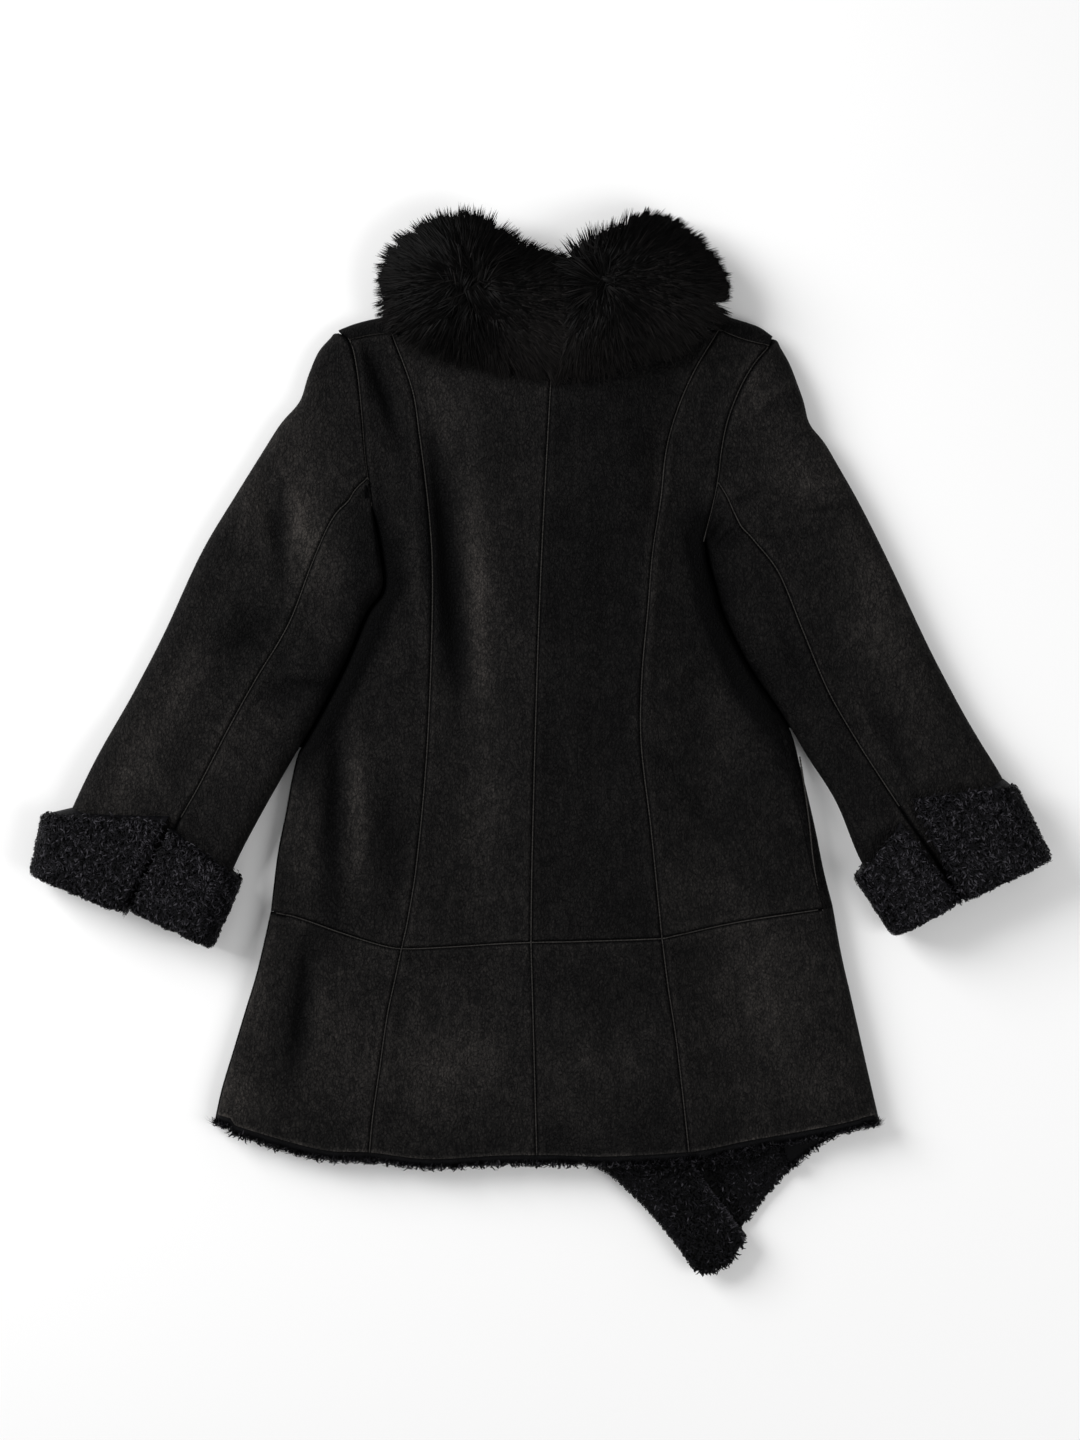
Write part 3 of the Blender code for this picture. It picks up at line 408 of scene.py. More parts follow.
def seamed(patch):
    """The patch drawn in at its sides, so that sewn pieces stand a seam's air apart."""
    def point(u, t):
        p = patch(u, t)
        u, t = np.broadcast_arrays(np.asarray(u, float), np.asarray(t, float))
        return p + SEAM * 1.2 * np.stack([0.5 - u, t - 0.5], axis=-1)
    return point


BESIDE_SEAM = (0.0, 0.8, 1.8, 3.2, 5.2)   # places of the points beside a seam


def graded(length, cell, start=True, end=True):
    """Places from 0 to 1 along a length, closer together beside the seams at its ends."""
    fine = list(BESIDE_SEAM)
    low = fine if start else [0.0]
    high = [length - d for d in reversed(fine)] if end else [length]
    count = max(int(round((high[0] - low[-1]) / cell)), 1)
    inner = [lerp(low[-1], high[0], k / count) for k in range(1, count)]
    return np.array(low + inner + high) / length


# --- Heights ----------------------------------------------------------------------------------

def folds_at(x, y, folds):
    """Height that a table of folds adds at x, y."""
    total = np.zeros(np.broadcast(x, y).shape)
    for ax, ay, bx, by, half_width, rise in folds:
        run = (bx - ax) ** 2 + (by - ay) ** 2
        t = np.clip(((x - ax) * (bx - ax) + (y - ay) * (by - ay)) / run, 0.0, 1.0)
        fade = smooth(4 * t) * smooth(4 * (1 - t))
        away = np.hypot(x - lerp(ax, bx, t), y - lerp(ay, by, t))
        total += rise * (0.35 + 0.65 * fade) * np.exp(-2 * (away / half_width) ** 2)
    return total


def relief(x, y):
    """Height of the folds and creases at x, y."""
    return folds_at(x, y, FOLDS) + folds_at(x, y, CREASES)


def past_edge(x, y, edge, start, length):
    """0 up to a front's free edge, shifted by start, and 1 a length beyond that."""
    return smooth((x - edge_x(*edge, y) - start) / length)


LEFT_FREE_EDGE = (FRONT_EDGE_LEFT, LOW_FRONT_EDGE_LEFT)
RIGHT_FREE_EDGE = (FRONT_EDGE_RIGHT, LOW_FRONT_EDGE_RIGHT)


def lap_under_back(x, y):
    """0 where the back lies on one front, and 1 where it lies on both."""
    return past_edge(x, y, RIGHT_FREE_EDGE, *BACK_RISES) * (1 - past_edge(x, y, LEFT_FREE_EDGE, *BACK_SINKS))


def lap_of_front(x, y):
    """0 where the left front lies on the floor, and 1 where it lies on the right front."""
    return past_edge(x, y, RIGHT_FREE_EDGE, *FRONT_RISES)


def back_underside(x, y):
    """Height of the back's inside."""
    return (WALL + SLIT) * (1 + lap_under_back(x, y))


def back_top(x, y):
    """Height of the back's outside."""
    return back_underside(x, y) + WALL + relief(x, y)


# --- Meshes -----------------------------------------------------------------------------------

def normals_of(grid, faces_up):
    """Unit normals of a grid of points; at its highest point they look up, or down at its lowest."""
    normal = unit(np.cross(np.gradient(grid, axis=0), np.gradient(grid, axis=1)))
    heights = grid[1:-1, 1:-1, 2]
    pick = np.argmax(heights) if faces_up else np.argmin(heights)
    i, j = np.unravel_index(pick, heights.shape)
    upright = normal[i + 1, j + 1, 2] > 0
    return normal if upright == faces_up else -normal


def wall_faces(rows, columns):
    """Quads of a closed wall: the outer grid of points comes first and then the inner one."""
    index = np.arange(rows * columns).reshape(rows, columns)
    count = rows * columns

    def quads(a, b, c, d):
        return np.stack([a.ravel(), b.ravel(), c.ravel(), d.ravel()], axis=1)
    top = quads(index[:-1, :-1], index[1:, :-1], index[1:, 1:], index[:-1, 1:])
    base = quads(index[:-1, :-1], index[:-1, 1:], index[1:, 1:], index[1:, :-1]) + count
    left = quads(index[:-1, 0], index[:-1, 0] + count, index[1:, 0] + count, index[1:, 0])
    right = quads(index[:-1, -1], index[1:, -1], index[1:, -1] + count, index[:-1, -1] + count)
    head = quads(index[0, :-1], index[0, 1:], index[0, 1:] + count, index[0, :-1] + count)
    foot = quads(index[-1, :-1], index[-1, :-1] + count, index[-1, 1:] + count, index[-1, 1:])
    return np.concatenate([top, base, left, right, head, foot])


def signed_volume(points, quads):
    a, b, c, d = (points[quads[:, k]] for k in range(4))
    return (np.einsum("ij,ij->i", a, np.cross(b, c)) + np.einsum("ij,ij->i", a, np.cross(c, d))).sum()


def make_mesh(name, points, faces, material, shades=None):
    """A mesh object from points in millimetres; shades is one value per point for its material."""
    mesh = bpy.data.meshes.new(name)
    mesh.vertices.add(len(points))
    mesh.vertices.foreach_set("co", (np.asarray(points, np.float32) * MM).ravel())
    sides = faces.shape[1]
    mesh.loops.add(faces.size)
    mesh.loops.foreach_set("vertex_index", faces.astype(np.int32).ravel())
    mesh.polygons.add(len(faces))
    mesh.polygons.foreach_set("loop_start", np.arange(0, faces.size, sides, dtype=np.int32))
    mesh.update(calc_edges=True)
    mesh.validate()
    if shades is not None:
        layer = mesh.attributes.new("shade", "FLOAT", "POINT")
        layer.data.foreach_set("value", np.asarray(shades, np.float32).ravel())
    mesh.materials.append(material)
    mesh.shade_smooth()
    piece = bpy.data.objects.new(name, mesh)
    bpy.context.scene.collection.objects.link(piece)
    return piece


SHARP = 60.0   # degrees between faces from which an edge is sharp


def attach(piece):
    """Rides a piece on the coat's one body."""
    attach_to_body(piece, "root")
    return piece


def wall(name, outer, inner, material, shades=None):
    """One closed solid between two grids of points with the same rows and columns."""
    rows, columns = outer.shape[:2]
    points = np.concatenate([outer.reshape(-1, 3), inner.reshape(-1, 3)])
    faces = wall_faces(rows, columns)
    if signed_volume(points, faces) < 0:
        faces = faces[:, ::-1]
    if shades is not None:
        shades = np.concatenate([shades.ravel(), shades.ravel()])
    piece = make_mesh(name, points, faces, material, shades)
    piece.data.set_sharp_from_angle(angle=math.radians(SHARP))
    return piece


def hide(name, outer, faces_up, material, shades=None):
    """A suede hide on a grid of points: the grid is its outside."""
    inner = outer - normals_of(outer, faces_up) * HIDE
    inner[..., 2] = np.maximum(inner[..., 2], 0.0)
    return wall(name, outer, inner, material, shades)


def declare_sheet(piece, node):
    """Rides a piece of cloth and hides the solid that it stands for."""
    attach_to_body(piece, "root")
    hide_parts(node)


# --- Body -------------------------------------------------------------------------------------

def sleeve_column(side, r, columns):
    """Columns of a sleeve's table, read at section r."""
    table = np.array(SLEEVES[side], float)
    return hermite(np.arange(len(table)), table[:, columns], r)


def sleeve_outer(side, r):
    """The sleeve's outer edge at section r, swollen at its head."""
    first, second = (np.array(SLEEVES[side][k][0:2], float) for k in (0, 2))
    down = second - first
    outward = unit(np.array([down[1], -down[0]] if side == "left" else [-down[1], down[0]]))
    swell = bells(r, SLEEVE_HEAD[side]) * smooth(np.asarray(r) / 0.2)
    return sleeve_column(side, r, slice(0, 2)) + swell[..., None] * outward


def sleeve_inner(side, r):
    return sleeve_column(side, r, slice(2, 4))


def body_edge(side):
    """The body's edge: the armhole, then along the sleeve, then the free side."""
    arm = curve(ARMHOLE[side])
    steps = np.linalg.norm(np.diff(np.array(ARMHOLE[side], float), axis=0), axis=1)
    start = steps[0] / steps.sum()
    points = [tuple(point) for point in arm(lerp(start, 1.0, np.arange(13) / 12))]
    along = BODY_LEAVES_SLEEVE[side] * np.arange(1, 25) / 24
    points += [tuple(point) for point in sleeve_inner(side, along)]
    return curve(points + FREE_SIDE[side])


def roll_weight(y, side):
    """How far the body's edge turns over: not at the armhole, and fully below the armpit."""
    armpit = ARMHOLE[side][-1][1]
    return smooth((armpit - y) / ARMPIT_BLEND)


def side_seam_angle(side, y):
    """Where on the roll of the body's edge the side seam lies: a quarter turn is halfway down."""
    if side == "left":
        return np.full(np.shape(y), math.pi / 2)
    return np.arcsin(1 - table_value(SIDE_SEAM_INSET, y) / EDGE_ROLL)


def rolled_edge(share, layer, side, y):
    """Distance in from the edge and height on the roll; rows are y and columns are share."""
    seam_angle = side_seam_angle(side, y)[:, None]
    full = 0.0 if layer == "back" else math.pi
    share = share[None, :]
    angle = lerp(seam_angle, full, share)
    weight = roll_weight(y, side)[:, None]
    reach = EDGE_ROLL * share + 0 * angle
    flat_z = BODY if layer == "back" else 0.0
    d = lerp(reach, EDGE_ROLL * (1 - np.sin(angle)), weight)
    z = lerp(flat_z, BODY / 2 * (1 + np.cos(angle)), weight)
    sign = 1 if layer == "back" else -1
    air = sign * SEAM * 0.6 * (1 - smooth(4 * share)) * weight
    return d + air * np.cos(seam_angle), z + air * np.sin(seam_angle)


def side_grid(side, layer, patch, inward, rows):
    """The outside of a panel between the body's edge and a princess seam."""
    edge_u, seam_u = (0.0, 1.0) if side == "left" else (1.0, 0.0)
    edge, seam = patch(edge_u, rows), patch(seam_u, rows)
    width = np.linalg.norm(seam - edge, axis=1)
    way = unit(inward(rows) - edge)
    mean_width = float(width.mean())
    shares = np.array([0.0, 0.04, 0.1, 0.18, 0.3, 0.42, 0.54, 0.66, 0.78, 0.9, 1.0])
    d, z = rolled_edge(shares, layer, side, edge[:, 1])
    weight = roll_weight(edge[:, 1], side)[:, None, None]
    flat_way = patch(lerp(edge_u, seam_u, d / width[:, None]), rows[:, None])
    rolled = lerp(flat_way, edge[:, None] + way[:, None] * d[..., None], weight)
    places = graded(mean_width - EDGE_ROLL, CELL if layer == "back" else 3 * CELL, start=False)[1:]
    d_flat = lerp(EDGE_ROLL, width[:, None], places[None, :])
    lying = patch(lerp(edge_u, seam_u, d_flat / width[:, None]), rows[:, None])
    plan = np.concatenate([rolled, lying], axis=1)
    distance_in = np.concatenate([d, d_flat], axis=1)
    x, y = plan[..., 0], plan[..., 1]
    if layer == "back":
        height = np.concatenate([z, back_underside(*np.moveaxis(lying, -1, 0)) + WALL], axis=1)
        settle = smooth(distance_in / EDGE_ROLL)
        height = height + relief(x, y) * settle
    else:
        height = np.concatenate([z, np.zeros(d_flat.shape)], axis=1)
    grid = np.dstack([x, y, height])
    return grid, distance_in, width[:, None] - distance_in


def sew(grid, faces_up, *distances):
    """The grid with the dips and ridges of its seams at these distances, and their change of tone: painted
    shade in the grooves and lighter rubbed nap on the ridges.
    """
    distances = [np.maximum(distance, 0.0) for distance in distances]
    lowering = sum(bells(distance, SEAM_FORM) for distance in distances)
    tones = sum(bells(distance, SEAM_SHADE_AND_WEAR) for distance in distances)
    return grid + normals_of(grid, faces_up) * lowering[..., None], tones


def row_distances(rows, length):
    """Distances of rows from the seams above and below."""
    return rows[:, None] * length, (1 - rows[:, None]) * length


def flat_grid(patch, rows, columns, height):
    """A grid of points on a patch, each at the height of its place."""
    plan = patch(columns[None, :], rows[:, None])
    return np.dstack([plan[..., 0], plan[..., 1], height(plan[..., 0], plan[..., 1])])


def panel_shade(grid, tone):
    """Tone of a panel: its own tone, the painted light and shade of its creases, the patches of nap rubbed
    lighter and the patches of painted shade.
    """
    x, y = grid[..., 0], grid[..., 1]
    value = tone + CREASE_PAINTED_SHADING * np.clip(folds_at(x, y, CREASES), -3.0, 2.0)
    for px, py, half_x, half_y, turn, change in NAP_AND_PAINTED_SHADE:
        c, s = math.cos(math.radians(turn)), math.sin(math.radians(turn))
        across = ((x - px) * c + (y - py) * s) / half_x
        down = (-(x - px) * s + (y - py) * c) / half_y
        value = value + change * np.exp(-(across ** 2 + down ** 2))
    return value


def beside_sleeve(from_edge, y):
    """How much darker the back is in the shadow of the sleeve that lies beside it."""
    near = 1 - smooth((from_edge - 4.0) / 26.0)
    above, below = 1 - smooth((y - 190.0) / 60.0), smooth((y + 60.0) / 70.0)
    return SLEEVE_SHADOW * near * below * above


BACK_LINES = (LOW_EDGE_LEFT, LOW_PRINCESS_LEFT, LOW_CENTRE_BACK, LOW_PRINCESS_RIGHT, LOW_EDGE_RIGHT)
BACK_PLACES = ("side_left", "centre_left", "centre_right", "side_right")
CENTRE_WIDTH = 135.0   # mean width of a panel beside the centre seam


def back_surface(place, patch, lines, rows):
    """The outside of a back panel on these rows, with the distances from its two long edges."""
    if place == "side_left":
        return side_grid("left", "back", patch, lines[1], rows)
    if place == "side_right":
        return side_grid("right", "back", patch, lines[3], rows)
    columns = graded(CENTRE_WIDTH, CELL)
    grid = flat_grid(patch, rows, columns, back_top)
    spans = np.linalg.norm(grid[:, -1, :2] - grid[:, 0, :2], axis=1)[:, None]
    return grid, columns[None, :] * spans, (1 - columns[None, :]) * spans


def build_back():
    upper_lines = (body_edge("left"), curve(PRINCESS_LEFT), curve(CENTRE_BACK), curve(PRINCESS_RIGHT),
                   body_edge("right"))
    tops = [curve(line) for line in (SHOULDER_LEFT, NECK_LEFT, NECK_RIGHT, SHOULDER_RIGHT)]
    hip, hem = stretches(HIP, BACK_LINES), stretches(HEM_BACK, BACK_LINES, -1)
    lower_rows = graded(LOWER_LENGTH - HEM_SHOWS, CELL, end=False) * (1 - HEM_SHOWS / LOWER_LENGTH)
    levels = (("back_", UPPER_LENGTH, graded(UPPER_LENGTH, CELL), upper_lines, tops, hip),
              ("back_lower_", LOWER_LENGTH, lower_rows, [curve(line) for line in BACK_LINES], hip, hem))
    for level, length, rows, lines, heads, feet in levels:
        above, below = row_distances(rows, length)
        for k, place in enumerate(BACK_PLACES):
            name, trims = level + place, ()
            patch = seamed(coons(lines[k], lines[k + 1], heads[k], feet[k]))
            grid, *seams = back_surface(place, patch, lines, rows)
            if feet is hem:
                grid, tones = sew(grid, True, *seams, above)
                tones = tones + bells(below - HEM_SHOWS, CUT_EDGE_TONE)
                end, *_ = back_surface(place, patch, lines, band_rows())
                trims = wool_band(name, end, True, BAND - HEM_SHOWS)
            else:
                shadow = beside_sleeve(seams[0], grid[..., 1]) if "side" in place else 0.0
                grid, tones = sew(grid, True, *seams, above, below)
                tones = tones - shadow
            finish_panel(name, grid, True, tones)


def finish_panel(name, grid, faces_up, tones=0.0):
    """A panel's suede hide on its outside."""
    shades = panel_shade(grid, PANEL_TONE[name]) + tones
    piece = hide(name + "_hide", grid, faces_up, MATERIAL["suede"], shades)
    declare_sheet(piece, name)


FRONT_CELL = 9.0    # distance between rows of a front
FRONT_BAND = 40.0   # how far up from its end a side front's wool is modelled
BAND_SHOWS = 3.0    # how much of that the hide leaves free


def left_front_floor(x, y):
    """Where the left front's outside lies: on the floor, and then on the right front."""
    return (WALL + SLIT) * lap_of_front(x, y)


def on_floor(x, y):
    return 0 * x


def shoulder_rows(flat_top, seam_line, top_line, side):
    """Rows that carry a front over the shoulder's edge to the forward shoulder seam."""
    start = flat_top[0, :2]
    span = flat_top[-1, :2] - start
    along = (flat_top[:, :2] - start) @ span / (span @ span)
    along = along if side == "left" else 1 - along
    foot, tip = seam_line(along), top_line(along)
    reach = np.linalg.norm(tip - foot, axis=1)
    way = (foot - tip) / reach[:, None]
    roll = np.minimum(SHOULDER_ROLL, reach - 0.6)
    rows = []
    for angle in np.linspace(0.0, math.pi, 11)[::-1]:
        d = roll * (1 - math.sin(angle))
        z = np.full(d.shape, BODY / 2 * (1 + math.cos(angle)))
        rows.append(np.column_stack([tip + way * d[:, None], z]))
    for share in (0.4, 0.75, 1.0):
        d = lerp(roll, reach - 0.35, share)
        rows.append(np.column_stack([tip + way * d[:, None], np.full(d.shape, BODY)]))
    return np.array(rows[::-1])


def build_fronts():
    upper, lower = graded(UPPER_LENGTH, FRONT_CELL), graded(LOWER_LENGTH, FRONT_CELL)
    hip_side_left, hip_left = stretches(HIP, (LOW_EDGE_LEFT, LOW_PRINCESS_LEFT, LOW_FRONT_EDGE_LEFT))
    hip_right, hip_side_right = stretches(
        HIP, (LOW_FRONT_EDGE_RIGHT, LOW_FRONT_PRINCESS_RIGHT, LOW_EDGE_RIGHT))
    neck_left, = stretches(NECK, (PRINCESS_LEFT, FRONT_EDGE_LEFT))
    neck_right, = stretches(NECK, (FRONT_EDGE_RIGHT, FRONT_PRINCESS_RIGHT))
    princess_left, princess_right = curve(PRINCESS_LEFT), curve(FRONT_PRINCESS_RIGHT)
    low_left, low_right = curve(LOW_PRINCESS_LEFT), curve(LOW_FRONT_PRINCESS_RIGHT)
    sides = (
        ("front_side_left", PRINCESS_LEFT, upper,
         coons(body_edge("left"), princess_left, curve(SHOULDER_LEFT), hip_side_left)),
        ("front_side_right", PRINCESS_RIGHT, upper,
         coons(princess_right, body_edge("right"), curve(SHOULDER_RIGHT), hip_side_right)),
        ("front_lower_side_left", LOW_PRINCESS_LEFT, lower,
         coons(curve(LOW_EDGE_LEFT), low_left, hip_side_left, curve(HEM_FRONT_SIDE_LEFT))),
        ("front_lower_side_right", LOW_PRINCESS_RIGHT, lower,
         coons(low_right, curve(LOW_EDGE_RIGHT), hip_side_right, curve(HEM_FRONT_SIDE_RIGHT))))
    for name, inward, rows, patch in sides:
        side = name.split("_")[-1]
        patch, inward, trims = seamed(patch), curve(inward), ()
        grid, _, _ = side_grid(side, "front", patch, inward, rows)
        if rows is upper:
            seam_line, top_line = map(curve, SHOULDER[side])
            grid = np.concatenate([shoulder_rows(grid[0], seam_line, top_line, side), grid])
        else:
            end, _, _ = side_grid(side, "front", patch, inward, band_rows(FRONT_BAND))
            trims = wool_band(name, end, False, FRONT_BAND - BAND_SHOWS, FRONT_BAND)
        finish_panel(name, grid, False)
    ramp = np.concatenate([np.linspace(0.0, 0.4, 6), np.linspace(0.44, 1.0, 15)])
    even = np.linspace(0, 1, 15)
    flats = (
        ("front_centre_left", upper, ramp, left_front_floor, ["front_centre_right"],
         coons(princess_left, curve(FRONT_EDGE_LEFT), neck_left, hip_left)),
        ("front_lower_centre_left", lower, ramp, left_front_floor, ["front_lower_centre_right"],
         coons(low_left, curve(LOW_FRONT_EDGE_LEFT), hip_left, curve(HEM_FRONT_CENTRE_LEFT))),
        ("front_centre_right", upper, even, on_floor, ["floor"],
         coons(curve(FRONT_EDGE_RIGHT), princess_right, neck_right, hip_right)),
        ("front_lower_centre_right", lower, even, on_floor, ["floor"],
         coons(curve(LOW_FRONT_EDGE_RIGHT), low_right, hip_right, curve(HEM_FRONT_CENTRE_RIGHT))))
    for name, rows, columns, outside, rests_on, patch in flats:
        patch = seamed(patch)
        grid = flat_grid(patch, rows, columns, outside)
        trims = build_front_wool(name, patch, outside) if rows is lower else ()
        finish_panel(name, grid, False)


# --- Fleece -----------------------------------------------------------------------------------

BUMP_CELLS = 64   # the bumps' places repeat after this many cells
CURL_CELL, CURL_HEIGHT = 4.6, 2.1
LOCK_CELL, LOCK_HEIGHT = 9.5, 1.7


def cell_bumps(a, b, size, seed):
    """Round bumps, one to a cell of this size and placed unevenly, from 0 between them to 1."""
    jitter = np.random.default_rng(seed).uniform(0.1, 0.9, (BUMP_CELLS, BUMP_CELLS, 2))
    lift = np.random.default_rng(seed + 1).uniform(0.55, 1.0, (BUMP_CELLS, BUMP_CELLS))
    column, row = np.floor(a / size).astype(int), np.floor(b / size).astype(int)
    best = np.zeros(np.shape(a))
    for i in (-1, 0, 1):
        for j in (-1, 0, 1):
            k, m = (column + i) % BUMP_CELLS, (row + j) % BUMP_CELLS
            da = (column + i + jitter[k, m, 0]) * size - a
            db = (row + j + jitter[k, m, 1]) * size - b
            best = np.maximum(best, lift[k, m] * (1 - (da * da + db * db) / (0.81 * size * size)))
    return best


def fleece(a, b, seed):
    """Height of curled wool above its lowest, at a across and b along the curls' lie."""
    sway = 1.4 * np.sin(b / 9.0 + a / 14.0)
    small = cell_bumps((a + sway) * 1.25, b * 0.8, CURL_CELL, seed)
    large = cell_bumps(a + sway, b * 0.55, LOCK_CELL, seed + 7)
    return CURL_HEIGHT * np.sqrt(np.maximum(small, 0.0)) + LOCK_HEIGHT * large


EDGE_LOCKS = 900   # along the free edge of the front that lies on top


def edge_locks(name, top, base):
    """The lighter ends of the wool that stand along the free edge of the front that lies on top."""
    rng = np.random.default_rng(77)
    at = rng.uniform(0.2 * len(top), len(top) - 1.001, EDGE_LOCKS)
    high, low = between(top[:, -1], at), between(base[:, -1], at)
    out = unit((high - between(top[:, -4], at)) * (1.0, 1.0, 0.0))
    low_share, depth = rng.uniform(0.3, 1.0, (EDGE_LOCKS, 1)), rng.uniform(1.0, 4.0, (EDGE_LOCKS, 1))
    roots = lerp(low, high, low_share) - out * depth
    upward = unit(out * 0.8 + (0.0, 0.0, 1.0))
    return curls(name + "_edge_locks", roots, upward, out, 93, (4.0, 7.5), tone=0.62)


# The fleece inside a front's lower end: its first row, how many rows and columns of points, and curls.
FRONT_WOOL = {"left": (0.52, 66, 125, 5600), "right": (0.66, 44, 60, 3800)}


def build_front_wool(name, patch, outside):
    """The fleece on the inside of a front's lower end, where the coat's back doesn't cover it."""
    wide = "left" in name
    first, row_count, column_count, curl_count = FRONT_WOOL["left" if wide else "right"]
    rows, columns = np.linspace(first, 0.995, row_count), np.linspace(0.01, 0.988, column_count)
    plan = patch(columns[None, :], rows[:, None])
    x, y = plan[..., 0], plan[..., 1]
    rim = np.minimum(np.minimum(columns, 1 - columns)[None, :] * 130, (1 - rows)[:, None] * 130)
    round_off = np.sqrt(np.clip(rim / 9.0, 0.0, 1.0))
    lift = fleece(x * 0.9 + y * 0.45, y * 0.9 - x * 0.45, 31)
    low = outside(x, y) + HIDE
    top = np.dstack([x, y, low + 1.0 + (WALL - HIDE - 4.6) * round_off
                     + lift * (0.35 + 0.65 * round_off)])
    base = np.dstack([x, y, low + 0.05])
    beside = x - edge_x(*LEFT_FREE_EDGE, y)
    shadow = np.zeros(x.shape) if wide else 0.5 * (1 - smooth((beside - 4.0) / 22.0))
    # Painted shade and light: the wool's tone rises with the height of its curls, darker in their hollows.
    trims = [attach(wall(name + "_wool", top, base, MATERIAL["wool"], 0.08 + 0.10 * lift - shadow))]
    shown = smooth((-y - 392) / 10) * (1 + 1.5 * (round_off < 0.7)) * (1 - 1.8 * shadow)
    roots, outward = scattered(top, shown, curl_count, 70 + len(name))
    lie = np.tile((0.45, -0.9, 0.0), (len(roots), 1))
    if wide:
        trims.append(edge_locks(name, top, base))
    return trims + [curls(name + "_curls", roots, outward, lie, 80 + len(name), (3.5, 7.0), tone=0.24)]


# --- Sleeves ----------------------------------------------------------------------------------

TOP, ROLL, UNDER = range(3)


def sleeve_plan(side, r, f):
    """The place of the fraction f from a sleeve's outer edge to its inner edge, at section r."""
    straight = lerp(sleeve_outer(side, r), sleeve_inner(side, r), f[..., None])
    arm = curve(ARMHOLE[side])
    bend = arm(np.clip(f, 0, 1)) - lerp(arm(0.0), arm(1.0), f[..., None])
    return straight + (np.clip(1 - r, 0, 1) ** 2)[..., None] * bend


def sleeve_seam(side, r):
    """Where the back seam lies between a sleeve's edges, as a fraction from its outer one."""
    return sleeve_column(side, r, 4)


def sleeve_floor(r):
    """How far a sleeve is lifted by the cuff under its end."""
    return CUFF_LIFT * smooth((r - 6.0) / 1.5)


def sleeve_height(r):
    return lerp(BODY, SLEEVE, smooth(r / 2.0)) - 2.0 * smooth((r - 6) / 2)


def path_places(top, roll_steps, under_steps):
    """Steps round half a sleeve: its top from the seam, the edge's roll and back under to the seam."""
    under = np.linspace(0.0, 1.0, under_steps + 1)
    angles = np.linspace(0.0, math.pi, roll_steps + 1)
    kinds = np.concatenate([np.full(len(top) - 1, TOP), np.full(len(angles), ROLL),
                            np.full(len(under) - 1, UNDER)])
    values = np.concatenate([top[:-1], angles, under[::-1][1:]])
    return kinds, values


def sleeve_points(side, piece, r, places, inside=False, grow=0.0, seam=None):
    """Points on a sleeve at sections r and places round it; grow moves them outwards."""
    kinds, values = places
    r, kinds, values = np.broadcast_arrays(r, kinds[None, :], values[None, :])
    width = np.linalg.norm(sleeve_inner(side, r) - sleeve_outer(side, r), axis=-1)
    seam = sleeve_seam(side, r) if seam is None else seam
    height, sine, cosine = sleeve_height(r), np.sin(values), np.cos(values)
    to_seam = (seam if piece == "upper" else 1 - seam) * width - SEAM * 0.6
    flat_d = lerp(to_seam, EDGE_ROLL, values)
    if inside:
        flat_z = np.where(kinds == TOP, height - WALL, WALL)
        roll_d = WALL + (EDGE_ROLL - WALL) * (1 - sine)
        roll_z = height / 2 + (height / 2 - WALL) * cosine
    else:
        flat_z = np.where(kinds == TOP, height + grow, -grow)
        roll_d = EDGE_ROLL * (1 - sine) - grow * sine
        roll_z = height / 2 * (1 + cosine) + grow * cosine
    rolled = kinds == ROLL
    d, z = np.where(rolled, roll_d, flat_d), np.where(rolled, roll_z, flat_z)
    edge_air = 0.0 if piece == "upper" else ARMHOLE_AIR * np.where(rolled, 1.0, values)
    f = d / width if piece == "upper" else 1 - (d + edge_air) / width
    plan = sleeve_plan(side, r, f)
    z = z + sleeve_floor(r)
    if not inside:
        fade = np.where(rolled, np.maximum(cosine, 0.0), np.where(kinds == TOP, 1.0, 0.0))
        settled = fade * smooth(r / 0.7) * (1 - smooth((r - 7.2) / 0.6))
        z = z + relief(plan[..., 0], plan[..., 1]) * settled
    return np.dstack([plan, z]), to_seam - d


TUCK_BACK, TUCK_IN = 4.0, 3.0   # how far a sleeve's cloth reaches back and in behind its first row


def tucked_row(grid):
    """A row before the sleeve's first one, tucked in under the armhole so that no floor shows there."""
    tucked = grid[0] + unit(grid[0] - grid[1]) * TUCK_BACK - normals_of(grid, True)[0] * TUCK_IN
    tucked[:, 2] = np.maximum(tucked[:, 2], HIDE)
    return tucked


STRIP_POINTS, STRIP_HALF, STRIP_HEIGHT = 90, 7.0, 1.0


def armhole_shade_strip(side):
    """A dark strip of cloth under the gap between a sleeve and the body, put there as painted shade so that
    the gap reads as shadow.
    """
    inner = sleeve_inner(side, np.linspace(0.0, BODY_LEAVES_SLEEVE[side] - 0.15, STRIP_POINTS))
    strip = np.array([inner + (shift, 0.0) for shift in (-STRIP_HALF, STRIP_HALF)])
    points = np.dstack([strip, np.full(strip.shape[:2], STRIP_HEIGHT)])
    faces = np.arange(STRIP_POINTS - 1)[:, None] + (0, 1, STRIP_POINTS + 1, STRIP_POINTS)
    shades = np.full(2 * STRIP_POINTS, 0.1)
    strip = make_mesh(f"armhole_shade_strip_{side}", points.reshape(-1, 3), faces, MATERIAL["suede"], shades)
    attach(strip)


SECTION_STEP = 66.0   # mean distance between the sections of a sleeve's table
FIRST_ROW = 0.02      # section of a sleeve's first row
ROW_STEP = 4.4        # distance between rows of a sleeve
SLEEVE_STEPS = (12, 7)  # round its edge's roll, and underneath
SLEEVE_TOP_WIDTH = {"upper": 100.0, "under": 66.0}   # mean width of a sleeve's piece seen from above


